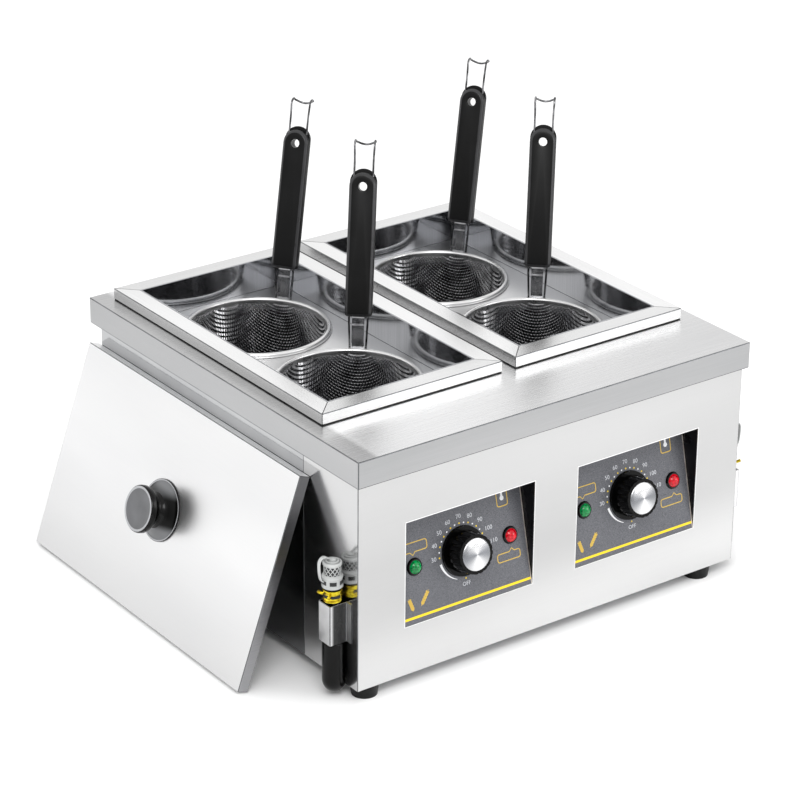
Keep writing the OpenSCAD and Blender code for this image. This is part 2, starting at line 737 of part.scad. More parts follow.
module knob_cap(side) {
    low = knob_h - 3.6 + 0.02;
    color("gainsboro") on_dial(side) rotate_extrude()
        polygon([[0, low], [knob_cap_r, low], [knob_cap_r, knob_h - 2], [knob_cap_r - 1, knob_h - 1],
            [knob_cap_r - 6, knob_h - 0.3], [0, knob_h]]);
}

bush_l = 12;
module shaft(side) {
    color("lightgray") on_dial(side) translate([0, 0, -bush_l - 2])
        cylinder(h = bush_l + 2 + knob_h - 9, r = shaft_r);
}

// Thermostat body behind each panel, with its fixing screws, capillary tube and probe in the tank
probe_r = 3;
probe_lift = 7;
probe_z = tank_floor_z + element_lift + element_r + probe_lift;
module thermostats() {
    body = [36, 44, 26];
    probe_l = 90;
    back_n = -panel_t - sheet - 0.1;
    body_n = (body[2] + sheet + 0.6) / cos(panel_tilt);
    seat_y = front_y + back_plane[0] + (probe_z - win_z) * tan(panel_tilt) + body_n;
    color("burlywood") for (side = [-1, 1]) {
        on_dial(side) difference() {
            union() {
                translate([-body[0] / 2, -body[1] / 2, back_n - body[2]]) cube(body);
                for (edge = [-1, 1]) translate([edge * fixing_u, 0, back_n - 1]) {
                    cylinder(h = -back_n + 1, r = fixing_r);
                    translate([0, 0, -back_n + 1]) cylinder(h = 1.8, r = 2.6);
                }
            }
            translate([0, 0, -bush_l - 3]) cylinder(h = 30, r = shaft_r + run_gap);
        }
        place() translate([side * tank_pitch / 2, 0, probe_z]) rotate([-90, 0, 0]) {
            translate([0, 0, seat_y]) cylinder(h = tank_front_y + 4 - seat_y, r = 1);
            translate([0, 0, tank_front_y - sheet - 6]) cylinder(h = 6 - rest_gap, r = 6, $fn = 6);
            translate([0, 0, tank_front_y - sheet - 1]) cylinder(h = probe_l, r = probe_r);
        }
    }
}

module lamp_bodies() {
    color("dimgray") for (side = [-1, 1], edge = [-1, 1]) on_panel(side)
        translate([edge * lamp_u, dial_v, 0]) difference() {
        union() {
            translate([0, 0, 0.05]) cylinder(h = 2.2, r1 = lamp_r, r2 = lamp_r - 1.2);
            translate([0, 0, -20]) cylinder(h = 21, r = lamp_hole_r);
            translate([0, 0, -panel_t - sheet - 3.2]) cylinder(h = 3, r = lamp_hole_r + 3, $fn = 6);
        }
        translate([0, 0, 1]) cylinder(h = 5, r = lamp_r - 2.2);
    }
}

module lenses(edge) {
    r = lamp_r - 2.3;
    dome_h = 4.2;
    ball_r = (r * r + dome_h * dome_h) / (2 * dome_h);
    for (side = [-1, 1]) on_panel(side) translate([edge * lamp_u, dial_v, 1.1]) {
        cylinder(h = 1.2, r = r);
        intersection() {
            translate([0, 0, 1.2 + dome_h - ball_r]) sphere(r = ball_r);
            translate([0, 0, 1.2 - eps]) cylinder(h = dome_h + 1, r = r);
        }
    }
}

// Heating tube in each tank: four runs joined by bends, its ends through the front wall
element_reach = 58;
element_inner = 29;
support_shares = [-0.12, 0.27];
module elements() {
    tail_l = 22;
    back_room = 30;
    front_room = 62;
    nut_r = element_r + 3;
    nut_h = 5;
    washer_h = 3;
    back_reach = tank_y + tank_l / 2 - back_room;
    front_reach = tank_front_y + front_room;
    color("gray") place() for (side = [-1, 1])
        translate([side * tank_pitch / 2, 0, tank_floor_z + element_lift]) {
        for (edge = [-1, 1]) {
            translate([edge * element_reach, tank_front_y - sheet - tail_l, 0]) rotate([-90, 0, 0])
                cylinder(h = back_reach - tank_front_y + sheet + tail_l, r = element_r);
            translate([edge * element_inner, front_reach, 0]) rotate([-90, 0, 0])
                cylinder(h = back_reach - front_reach, r = element_r);
            translate([edge * (element_reach + element_inner) / 2, back_reach, 0])
                bend((element_reach - element_inner) / 2, element_r, 0, 180);
            translate([edge * element_reach, tank_front_y, 0]) rotate([90, 0, 0])
                translate([0, 0, sheet + rest_gap]) cylinder(h = nut_h, r = nut_r, $fn = 6);
            translate([edge * element_reach, tank_front_y, 0]) rotate([-90, 0, 0])
                translate([0, 0, rest_gap]) cylinder(h = washer_h, r = nut_r);
        }
        translate([0, front_reach, 0]) bend(element_inner, element_r, 180, 180);
        for (share = support_shares) translate([0, tank_y + share * tank_l, -element_r]) {
            slab(0, 0, -1.5, [2 * element_reach + 12, 8, 1.6]);
            for (edge = [-1, 1]) slab(edge * (element_reach + 3), 0,
                -element_lift + element_r + rest_gap, [1.5, 8, element_lift - element_r - 1]);
        }
    }
}

// Round bend of radius r in the plane z = 0, from a start angle over a sweep
module bend(r, tube_r, start, sweep_a) {
    rotate([0, 0, start]) rotate_extrude(angle = sweep_a) translate([r, 0]) circle(r = tube_r, $fn = 32);
}

terminal_d = 22;
terminal_inset = 45;
module terminal_block() {
    size = [70, terminal_d, 18];
    ways = 5;
    color("ivory") place() translate([0, back_y - terminal_inset, foot_h + sheet]) difference() {
        slab(0, 0, rest_gap, size);
        for (i = [1:ways - 1]) slab(-size[0] / 2 + i * size[0] / ways, 0, 8, [2, size[1] + 2, 20]);
        for (i = [0:ways - 1]) translate([-size[0] / 2 + (i + 0.5) * size[0] / ways, 0, 12])
            cylinder(h = 20, r = 3.5);
    }
}

// Cable runs on the floor from the terminal block forward, then up to each thermostat
module wiring() {
    loom_r = 3.5;
    r = 12;
    z = foot_h + sheet + loom_r + 0.2;
    y0 = back_y - terminal_inset - terminal_d / 2 - 0.2;
    front_room = 52;
    y1 = front_y + front_room;
    rise = 46;
    apart = 48;
    color("darkslategray") place() for (side = [-1, 1]) translate([side * apart / 2, 0, 0]) {
        translate([0, y1 + r, z]) rotate([-90, 0, 0]) cylinder(h = y0 - y1 - r, r = loom_r);
        translate([0, y1 + r, z + r]) rotate([0, 90, 0]) bend(r, loom_r, 270, 90);
        translate([0, y1, z + r]) cylinder(h = rise, r = loom_r);
    }
}

module cable_gland() {
    bore = 4;
    color("dimgray") place() translate([gland_x, back_y, gland_z]) rotate([-90, 0, 0]) difference() {
        union() {
            translate([0, 0, 0.1]) cylinder(h = 5, r = gland_r + 4, $fn = 6);
            translate([0, 0, 5]) cylinder(h = 8, r1 = gland_r + 2, r2 = gland_r);
            translate([0, 0, -14]) cylinder(h = 15, r = gland_r);
            translate([0, 0, -sheet - 4.2]) cylinder(h = 4, r = gland_r + 4, $fn = 6);
        }
        translate([0, 0, -20]) cylinder(h = 40, r = bore);
    }
}

module mirrored(side) {
    if (side > 0) children();
    else mirror([1, 0, 0]) children();
}

// Inner hose: from a butt joint at the elbow a climb, a level turn and run, and the rise to the tank outlet
butt_gap = 0.15;
climb_z = elbow_z - elbow_bend_r * cos(climb);
way_in = 180 - hose_turn;
way_run = way_in - run_turn;
function level(p, z) = [p[0], p[1], z];
function along(l) = [hose_x, hose_y] + polar(l, way_in);
turn_start = along(level_reach);
function turn_point(a) = turn_start + polar(hose_bend_r, way_in - 90) - polar(hose_bend_r, way_in - 90 - a);
inner_path = concat(
    [for (l = [butt_gap, climb_l]) level(along(elbow_reach + l * cos(climb)), climb_z + l * sin(climb))],
    [for (e = [0.5, 0] * climb) level(along(level_reach - hose_bend_r * sin(e)),
        run_z - hose_bend_r * (1 - cos(e)))],
    [for (a = [1/3, 2/3, 1] * run_turn) level(turn_point(a), run_z)],
    [for (e = [0:15:90]) level(turn_point(run_turn) + polar(run_l + hose_bend_r * sin(e), way_run),
        run_z + hose_bend_r * (1 - cos(e)))]);

module inner_hose() {
    bore_l = 13;
    sweep(inner_path, hose_r, 12, level(polar(1, way_run - 80), 0));
    translate([outlet[0], outlet[1], 0]) difference() {
        translate([0, 0, run_z + hose_bend_r - 0.5]) cylinder(h = outlet_h + 0.5, r = hose_r + 0.05);
        translate([0, 0, tank_floor_z - sheet - 1 - bore_l]) cylinder(h = bore_l + 2, r = hose_bore_r);
    }
}

// Moulded elbow: a short upright length and a tight bend whose inner corner is nearly sharp
module hose_elbow() {
    translate([hose_x, hose_y, 0]) difference() {
        union() {
            translate([0, 0, elbow_z]) cylinder(h = sleeve_z - elbow_z - 0.4, r = elbow_r);
            translate([0, 0, elbow_z]) rotate([0, 0, 180 - hose_turn]) elbow_bend();
        }
        translate([0, 0, sleeve_z - socket_l]) cylinder(h = socket_l + 1, r = hose_r + run_gap);
    }
}

// The bend turns from straight down to the climb; no point of it comes nearer to its axis than inner_r
module elbow_bend() {
    sides = 16;
    inner_r = 1.5;
    r = elbow_r - 0.05;
    stations = concat([[0, 1]], [for (a = [0:15:90]) [a, 0]], [[90 + climb / 2, 0], [90 + climb, 0]]);
    skin([for (s = stations, k = [0:sides - 1])
        let (a = s[0], reach = max(elbow_bend_r + r * cos(k * 360 / sides), inner_r))
        [elbow_bend_r - reach * cos(a), r * sin(k * 360 / sides), s[1] - reach * sin(a)]], sides);
}

module drain_hoses() {
    spigot_l = 17;
    color("dimgray") place() for (side = [-1, 1]) mirrored(side) {
        inner_hose();
        hose_elbow();
        translate([hose_x, hose_y, 0]) difference() {
            translate([0, 0, sleeve_z - socket_l + 0.2])
                cylinder(h = hose_top_z - sleeve_z + socket_l - 0.2, r = hose_r);
            translate([0, 0, hose_top_z - spigot_l]) cylinder(h = spigot_l + 1, r = hose_bore_r);
        }
    }
}

// Square holder: a folded channel with two flanges on the cabinet's side
module hose_holders() {
    wall = 1;
    inside = 2 * hose_r + 0.6;
    flange = 7;
    far = hose_x + hose_r + 0.3 + wall;
    color("gainsboro") place() for (side = [-1, 1]) mirrored(side) translate([0, hose_y, sleeve_z])
        difference() {
        union() {
            block([side_x, -inside / 2 - wall, 0], [far, inside / 2 + wall, sleeve_h]);
            block([side_x, -inside / 2 - wall - flange, 0],
                [side_x + wall, inside / 2 + wall + flange, sleeve_h]);
        }
        block([side_x - 1, -inside / 2, -1], [far - wall, inside / 2, sleeve_h + 1]);
    }
}

clamp_z = sleeve_z + sleeve_h + 2;
clamp_h = 12;
module hose_clamps() {
    band = 0.9;
    color("gold") place() for (side = [-1, 1]) mirrored(side) translate([hose_x, hose_y, clamp_z])
        difference() {
        union() {
            cylinder(h = clamp_h, r = hose_r + run_gap + band);
            for (ear = [-1, 1]) rotate([0, 0, 40 * ear])
                block([hose_r - 1, -0.8, 3], [hose_r + 6, 0.8, clamp_h - 3]);
        }
        translate([0, 0, -1]) cylinder(h = clamp_h + 2, r = hose_r + run_gap);
    }
}

// Moulded hose end: a spigot in the hose, the collar and the ribbed valve body
module hose_ends() {
    spigot = 16;
    color("white") place() for (side = [-1, 1]) mirrored(side) translate([hose_x, hose_y, hose_top_z])
        difference() {
        union() {
            translate([0, 0, -spigot]) cylinder(h = spigot + 1, r = hose_bore_r - run_gap);
            translate([0, 0, 0.1]) cylinder(h = collar_h, r = collar_r - 0.4);
            for (z = [0.1, collar_h - 2]) translate([0, 0, z]) cylinder(h = 2, r = collar_r);
            translate([0, 0, collar_h]) cylinder(h = valve_h, r = cap_r - 1);
        }
        translate([0, 0, -spigot - 1]) cylinder(h = spigot + collar_h + valve_h + 5, r = 3.4);
        for (k = [0:5]) rotate([0, 0, k * 60]) translate([collar_r - 1.4, 0, 5.5])
            slab(0, 0, -1.5, [3, 5, 4]);
    }
}

module drain_cap(side) {
    plug_l = 9;
    base = hose_top_z + collar_h + valve_h + rest_gap;
    loop_x = strap_reach - strap_loop_r;
    loop_z = cap_h - 0.5;
    strap_low = -valve_h - 5;
    tab_h = 4;
    color("white") place() mirrored(side) translate([hose_x, hose_y, base]) {
        cylinder(h = cap_h - 1, r = cap_r);
        translate([0, 0, cap_h - 1 - eps]) cylinder(h = 1, r1 = cap_r - 1.5, r2 = cap_r - 2.5);
        translate([0, 0, -plug_l]) cylinder(h = plug_l + 1, r = 3.4 - 0.1);
        translate([loop_x, 0, loop_z]) rotate([90, 0, 0]) rotate_extrude(angle = 180)
            translate([strap_loop_r - strap_t, -strap_w / 2]) square([strap_t, strap_w]);
        block([strap_reach - strap_t, -strap_w / 2, strap_low], [strap_reach, strap_w / 2, loop_z + eps]);
        block([collar_r + lid_gap, -strap_w / 2, strap_low], [strap_reach, strap_w / 2, strap_low + tab_h]);
    }
}

// Lid leaning on the left side; its local x runs up the lid and its local z out of the face
module on_lid() {
    place() translate([lid_low_x, lid_y, lid_low_z]) rotate([0, -lid_lean, 0]) children();
}

module lid() {
    color("gainsboro") on_lid() difference() {
        translate([0, -lid_l / 2, -lid_h]) cube([lid_w, lid_l, lid_h]);
        translate([sheet, -lid_l / 2 + sheet, -lid_h - 1])
            cube([lid_w - 2 * sheet, lid_l - 2 * sheet, lid_h + 1 - sheet]);
        translate([lid_w / 2, 0, -sheet - 1]) cylinder(h = sheet + 2, r = screw_r + hole_gap);
    }
}

module lid_knob() {
    h = lid_knob_h;
    waist_r = lid_knob_cap_r - 8;
    base = [[0, 0], [lid_knob_base_r, 0], [lid_knob_base_r, 1.6], [lid_knob_base_r - 5, 4]];
    waist = [[waist_r + 2.5, 8], [waist_r, 12], [waist_r, 15], [waist_r + 2.5, h - 10.2]];
    cap = [[lid_knob_cap_r - 1.5, h - 7.7], [lid_knob_cap_r, h - 6.2], [lid_knob_cap_r, h - 3],
        [lid_knob_cap_r - 1.5, h - 1], [lid_knob_cap_r - 5, h], [0, h]];
    color("black") on_lid() translate([lid_w / 2, 0, 0.05]) difference() {
        rotate_extrude() polygon(concat(base, waist, cap));
        translate([0, 0, -1]) cylinder(h = 15, r = screw_r);
    }
}

module lid_screw() {
    color("lightgray") on_lid() translate([lid_w / 2, 0, -sheet]) {
        translate([0, 0, -head_h]) cylinder(h = head_h, r = head_r + 2);
        cylinder(h = sheet + 12, r = screw_r);
    }
}

worktop();
front_fascia();
side_panel(-1);  // left_side_panel
side_panel(1);  // right_side_panel
back_panel();
bottom_plate();
tank(-1);  // left_tank
tank(1);  // right_tank
tank_rims();
rim_seals();
plate_lugs();
basket_plate(-1);  // left_basket_plate
basket_plate(1);  // right_basket_plate
ring(0);  // basket_1_ring
mesh(0);  // basket_1_mesh
bracket(0);  // basket_1_bracket
wire(0);  // basket_1_wire
grip(0);  // basket_1_grip
ring(1);  // basket_2_ring
mesh(1);  // basket_2_mesh
bracket(1);  // basket_2_bracket
wire(1);  // basket_2_wire
grip(1);  // basket_2_grip
ring(2);  // basket_3_ring
mesh(2);  // basket_3_mesh
bracket(2);  // basket_3_bracket
wire(2);  // basket_3_wire
grip(2);  // basket_3_grip
ring(3);  // basket_4_ring
mesh(3);  // basket_4_mesh
bracket(3);  // basket_4_bracket
wire(3);  // basket_4_wire
grip(3);  // basket_4_grip
panel_pockets();
control_panels();
knob(-1);  // left_knob
knob(1);  // right_knob
knob_cap(-1);  // left_knob_cap
knob_cap(1);  // right_knob_cap
shaft(-1);  // left_shaft
shaft(1);  // right_shaft
thermostats();
lamp_bodies();
color("green") lenses(-1);  // green_lenses
color("red") lenses(1);  // red_lenses
elements();
terminal_block();
wiring();
feet();
screws();
cable_gland();
drain_hoses();
hose_holders();
hose_clamps();
hose_ends();
drain_cap(-1);  // left_drain_cap
drain_cap(1);  // right_drain_cap
lid();
lid_knob();
lid_screw();
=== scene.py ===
# Looks of a countertop pasta cooker: brushed steel, woven baskets, moulded grips and printed panels
import math
import bmesh
import bpy
import numpy as np
from mathutils import Matrix, Vector


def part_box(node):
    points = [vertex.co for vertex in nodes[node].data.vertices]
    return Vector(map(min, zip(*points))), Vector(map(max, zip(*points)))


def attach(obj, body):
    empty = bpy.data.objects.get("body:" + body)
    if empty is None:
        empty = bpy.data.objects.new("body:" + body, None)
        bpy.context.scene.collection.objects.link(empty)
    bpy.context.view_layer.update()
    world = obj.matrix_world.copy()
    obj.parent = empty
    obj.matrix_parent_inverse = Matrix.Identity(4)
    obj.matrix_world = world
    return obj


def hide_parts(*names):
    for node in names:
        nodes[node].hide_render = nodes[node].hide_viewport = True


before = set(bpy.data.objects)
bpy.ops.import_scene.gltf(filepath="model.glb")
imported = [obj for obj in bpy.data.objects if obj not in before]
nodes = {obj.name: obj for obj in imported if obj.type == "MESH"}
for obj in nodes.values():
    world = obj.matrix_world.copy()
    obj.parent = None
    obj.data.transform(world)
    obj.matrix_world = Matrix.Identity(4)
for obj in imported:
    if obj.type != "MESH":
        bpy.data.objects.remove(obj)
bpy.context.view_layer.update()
mm = 0.001
worktopLow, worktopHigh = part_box("worktop")
middleX = (worktopLow.x + worktopHigh.x) / 2  # the cabinet's middle, beside the origin because of the lid
knobLow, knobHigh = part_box("lid_knob")
# the painted reflection on the lid knob's base centres on a painted dark band
knobPaintedBandZ = (knobLow.z + knobHigh.z) / 2 + 0.005  # the dark band on its base lies a little above its middle
print("frame loaded, cabinet middle at x =", round(middleX / mm, 2), "mm")


# Small tools

def linearColour(code):
    # sRGB hex to linear light: s / 12.92 in the toe, ((s + 0.055) / 1.055) to the power 2.4 above it
    s = np.array([int(code[i:i + 2], 16) for i in (1, 3, 5)]) / 255
    return [float(c) for c in np.where(s <= 0.04045, s / 12.92, ((s + 0.055) / 1.055) ** 2.4)] + [1.0]


def linked(name, data):
    # a new object in the scene
    made = bpy.data.objects.new(name, data)
    bpy.context.scene.collection.objects.link(made)
    return made


def takeFinishes(mesh, names):
    # the finishes named in one string, in their order
    mesh.materials.clear()
    for name in names.split():
        mesh.materials.append(finishes[name])


def addNode(tree, kind, settings=None, links=None):
    # settings go to the node's own values or to its inputs, links map an input to another node's output
    made = tree.nodes.new(kind)
    for key, value in (settings or {}).items():
        if isinstance(key, int) or key in made.inputs:
            made.inputs[key].default_value = value
        else:
            setattr(made, key, value)
    for key, source in (links or {}).items():
        tree.links.new(source, made.inputs[key])
    return made


def emptyTree(owner):
    # the node tree of a material or world, switched on and cleared
    owner.use_nodes = True
    owner.node_tree.nodes.clear()
    return owner.node_tree


def newMaterial(name, shader):
    # an empty material with a Principled shader, whose constants sit on its own sockets
    material = bpy.data.materials.new(name)
    tree = emptyTree(material)
    principled = addNode(tree, "ShaderNodeBsdfPrincipled", shader)
    addNode(tree, "ShaderNodeOutputMaterial", links={"Surface": principled.outputs["BSDF"]})
    return material, tree, principled


def stretchedNoise(tree, scale, detail=2.0, roughness=0.5):
    # noise over Object coordinates with its own scale along each axis, in cycles per metre
    place = addNode(tree, "ShaderNodeTexCoord")
    turned = addNode(tree, "ShaderNodeMapping", {"Scale": scale}, {"Vector": place.outputs["Object"]})
    return addNode(tree, "ShaderNodeTexNoise", {"Scale": 1.0, "Detail": detail, "Roughness": roughness},
                   {"Vector": turned.outputs["Vector"]}).outputs[0]


def shadedAlong(tree, colour, axis, near, far, low, high=1.0):
    # multiplies a colour by a share that runs from low to high between two places on an Object axis
    place = addNode(tree, "ShaderNodeTexCoord")
    parts = addNode(tree, "ShaderNodeSeparateXYZ", links={0: place.outputs["Object"]})
    limits = {"From Min": near, "From Max": far, "To Min": low, "To Max": high}
    share = addNode(tree, "ShaderNodeMapRange", {"interpolation_type": "SMOOTHSTEP", **limits},
                    {"Value": parts.outputs[axis]})
    return addNode(tree, "ShaderNodeVectorMath", {"operation": "SCALE"},
                   {0: colour, "Scale": share.outputs["Result"]}).outputs[0]


def dress(tree, principled, pattern, colours, rough=(), relief=(), shades=()):
    # A pattern's value between 0.3 and 0.7 runs between two hex colours and, if given, two roughnesses.
    # Relief is a pattern and its real depth in metres; the shades then scale the colour along an axis.
    band = {"From Min": 0.3, "From Max": 0.7}
    dark, light = (linearColour(code) for code in colours)
    share = addNode(tree, "ShaderNodeMapRange", band, {"Value": pattern})
    colour = addNode(tree, "ShaderNodeMix", {"data_type": "RGBA", 6: dark, 7: light},
                     {0: share.outputs["Result"]}).outputs[2]
    for shade in shades:
        colour = shadedAlong(tree, colour, *shade)
    tree.links.new(colour, principled.inputs["Base Color"])
    if rough:
        share = addNode(tree, "ShaderNodeMapRange", {**band, "To Min": rough[0], "To Max": rough[1]},
                        {"Value": pattern})
        tree.links.new(share.outputs["Result"], principled.inputs["Roughness"])
    if relief:
        bump = addNode(tree, "ShaderNodeBump", {"Strength": 1.0, "Distance": relief[1]},
                       {"Height": relief[0]})
        tree.links.new(bump.outputs["Normal"], principled.inputs["Normal"])


# Materials

def brushedSteel(name, colours, rough, grain, streaks=0.3, shades=()):
    # Stainless sheet ground with a belt: fine scratches along one axis stretch every reflection, and the
    # sheet is a little unevenly rolled. Real scratches are 0.05 mm wide; they are drawn about 0.6 mm wide.
    # The shades are painted light and shade: gentle changes of tone along an axis.
    material, tree, principled = newMaterial(name, {"Metallic": 1.0, "Anisotropic": 0.35})
    fine = stretchedNoise(tree, grain, 3.0, 0.6)
    broad = stretchedNoise(tree, [2.5 if g < 100 else 8.0 for g in grain])
    share = addNode(tree, "ShaderNodeMix", {"data_type": "FLOAT", 0: streaks}, {2: broad, 3: fine}).outputs[0]
    dress(tree, principled, share, colours, (rough * 0.85, rough * 1.15), (fine, 0.000004), shades)
    return material


def smoothMetal(name, colours, rough, patchSize, shades=()):
    # Rolled or polished metal: nearly even, with faint cloudy patches in its gloss.
    # the shades, where given, are painted shade along an axis
    material, tree, principled = newMaterial(name, {"Metallic": 1.0})
    patches = stretchedNoise(tree, [1 / patchSize] * 3, 3.0)
    dress(tree, principled, patches, colours, (rough * 0.75, rough * 1.25), shades=shades)
    return material


def mouldedPlastic(name, colours, rough, shine=0.5, grainSize=0.0005, depth=0.00001):
    # Moulded polymer or rubber: a fine spark-eroded grain and slight unevenness of colour.
    material, tree, principled = newMaterial(name, {"IOR": 1.5, "Specular IOR Level": shine})
    grain = stretchedNoise(tree, [1 / grainSize] * 3)
    cloud = stretchedNoise(tree, [30] * 3)
    dress(tree, principled, cloud, colours, (rough * 0.85, rough * 1.15), (grain, depth))
    return material


def paintedReflectionDisc(name, dark, light, near, far):
    # Buffed phenolic base with a painted reflection: two pale fans above and below a dark band are painted
    # into its colour; the tone rises with the height away from the band's middle.
    material, tree, principled = newMaterial(name, {"IOR": 1.5, "Roughness": 0.3, "Specular IOR Level": 0.15})
    place = addNode(tree, "ShaderNodeTexCoord")
    parts = addNode(tree, "ShaderNodeSeparateXYZ", links={0: place.outputs["Object"]})
    off = addNode(tree, "ShaderNodeMath", {"operation": "SUBTRACT", 1: knobPaintedBandZ}, {0: parts.outputs["Z"]})
    away = addNode(tree, "ShaderNodeMath", {"operation": "ABSOLUTE"}, {0: off.outputs[0]})
    limits = {"interpolation_type": "SMOOTHSTEP", "From Min": near, "From Max": far}
    share = addNode(tree, "ShaderNodeMapRange", limits, {"Value": away.outputs[0]})
    mix = addNode(tree, "ShaderNodeMix", {"data_type": "RGBA", 6: linearColour(dark), 7: linearColour(light)},
                  {0: share.outputs["Result"]})
    tree.links.new(mix.outputs[2], principled.inputs["Base Color"])
    return material


def panelPaint(name, colours, rough):
    # Printed polyester film over aluminium: dark blue-grey with a pearly grain of metal flakes.
    material, tree, principled = newMaterial(name, {"Metallic": 0.25, "IOR": 1.5})
    flakes = stretchedNoise(tree, [1300] * 3, 1.0)
    dress(tree, principled, flakes, colours, rough, (flakes, 0.00002))
    return material


def lampLens(name, deep, glow):
    # Tinted polycarbonate lens: clear gloss over a deep colour, with ribs inside that break it up.
    gloss = {"Coat Weight": 0.3, "Coat Roughness": 0.03, "Specular IOR Level": 0.25}
    material, tree, principled = newMaterial(name, {"IOR": 1.58, "Roughness": 0.12, **gloss})
    place = addNode(tree, "ShaderNodeTexCoord")
    facets = addNode(tree, "ShaderNodeTexVoronoi", {"Scale": 420.0}, {"Vector": place.outputs["Object"]})
    tint = addNode(tree, "ShaderNodeMix", {"data_type": "RGBA", 6: linearColour(deep), 7: linearColour(glow)},
                   {0: facets.outputs["Distance"]})
    tree.links.new(tint.outputs[2], principled.inputs["Base Color"])
    return material


def spunAluminiumPaintedFans(name, colours):
    # Turned face of the knob cap: fine rings round each dial's middle, drawn 0.4 mm apart, and two bright
    # fans, a painted highlight, whose tone follows the cosine of twice the angle.
    material, tree, principled = newMaterial(name, {"Metallic": 1.0, "Roughness": 0.25, "Anisotropic": 0.6})
    uv = addNode(tree, "ShaderNodeUVMap", {"uv_map": "spin"}).outputs["UV"]
    parts = addNode(tree, "ShaderNodeSeparateXYZ", links={0: uv})
    twice = addNode(tree, "ShaderNodeMath", {"operation": "MULTIPLY", 1: -4 * math.pi},
                    {0: parts.outputs["X"]})
    wave = addNode(tree, "ShaderNodeMath", {"operation": "COSINE"}, {0: twice.outputs[0]})
    limits = {"From Min": -0.9, "From Max": 1.0, "To Min": 0.7, "To Max": 0.3}
    fan = addNode(tree, "ShaderNodeMapRange", limits, {"Value": wave.outputs[0]})
    stretch = addNode(tree, "ShaderNodeMapping", {"Scale": [0.5, 60, 1]}, {"Vector": uv})
    rings = addNode(tree, "ShaderNodeTexNoise", {"Scale": 1.0, "Detail": 1.0},
                    {"Vector": stretch.outputs["Vector"]})
    dress(tree, principled, fan.outputs[0], colours, relief=(rings.outputs[0], 0.00002))
    turning = addNode(tree, "ShaderNodeTangent", {"direction_type": "UV_MAP", "uv_map": "spin"})
    tree.links.new(turning.outputs["Tangent"], principled.inputs["Tangent"])
    return material


def plainInk(name, code):
    # Screen-printed ink: even colour with a slight orange-peel surface.
    material, tree, principled = newMaterial(name, {"IOR": 1.5, "Roughness": 0.45})
    peel = stretchedNoise(tree, [1500] * 3, 1.0)
    dress(tree, principled, peel, (code, code), relief=(peel, 0.000004))
    return material


alongX, alongY, alongZ = [14, 1600, 1600], [1600, 14, 1600], [1600, 1600, 14]
zincGrain = [160, 160, 420]
brushed = {  # name, two colours, roughness, grain, weight of the streaks, shades
    # painted shade on the worktop's top: the strip left of the left rim is darkened to 0.62 as a painted dark
    # reflection, and the top darkens to 0.83 towards the right as painted shade
    "worktopSteel": ("worktopBrushedSteel", ("#c6c6c7", "#dbdbdb"), 0.27, alongX, 0.55,
                     [("X", middleX - 0.222, middleX - 0.214, 0.62),
                      ("X", middleX - 0.15, middleX + 0.15, 1.0, 0.83)]),
    # worktopSide and worktopFront are darker, shaded copies of the worktop's steel: painted shade on the side
    # folds and the front skirt
    "worktopSide": ("worktopSideBrushedSteel", ("#a6a7a8", "#b9b9ba"), 0.25, alongY),
    "worktopFront": ("worktopFrontBrushedSteel", ("#a0a1a2", "#b6b6b7"), 0.32, alongX),
    # painted light on the fascia: it is lightened by up to 1.28 towards its lower edge, near the floor
    "fasciaSteel": ("fasciaBrushedSteel", ("#c0c0c0", "#cccccc"), 0.34, alongX, 0.15,
                    [("Z", 0.03, 0.11, 1.28, 1.0)]),
    "fasciaSide": ("fasciaSideBrushedSteel", ("#c4c4c5", "#d0d0d0"), 0.15, alongY, 0.15),
    "sideSteel": ("sideBrushedSteel", ("#b0b1b3", "#bdbec0"), 0.22, alongY, 0.55),
    "backSteel": ("backBrushedSteel", ("#b0b1b3", "#bdbec0"), 0.28, alongX, 0.55),
    # painted shade on the lid: its face darkens to 0.8 towards its lower edge
    "lidSteel": ("lidBrushedSteel", ("#dededf", "#eaeaea"), 0.32, alongY, 0.15, [("Z", 0.0, 0.12, 0.8)]),
    # the lid's folded flange is a darker, shaded copy of the lid's steel, a painted shade, with painted light
    # towards its lower edge and painted shade at its top
    "lidEdge": ("lidFoldedEdge", ("#6e6e70", "#8c8c8e"), 0.3, alongX, 0.4, [("Z", 0.0, 0.17, 1.7, 0.75)]),
    "rimSteel": ("rimBrushedSteel", ("#bebebe", "#d6d6d6"), 0.24, alongX),
    # the front-to-back strips of the rims are brushed along y and are also a lighter copy of the rim steel, a
    # painted light
    "rimSteelAlong": ("rimSideBrushedSteel", ("#cccccc", "#e2e2e2"), 0.24, alongY),
    # painted shade in the tanks: below the basket plates the walls darken to 0.25
    "tankSteel": ("tankPolishedSteel", ("#96979a", "#b9babd"), 0.1, alongZ, 0.5,
                  [("Z", 0.2215, 0.2335, 0.25)]),
    "plateSteel": ("plateRolledSteel", ("#c6c6c7", "#d6d6d6"), 0.36, alongY, 0.15),
    "zinc": ("clampYellowZinc", ("#6e2a08", "#ffee3c"), 0.2, zincGrain, 0.85),
}
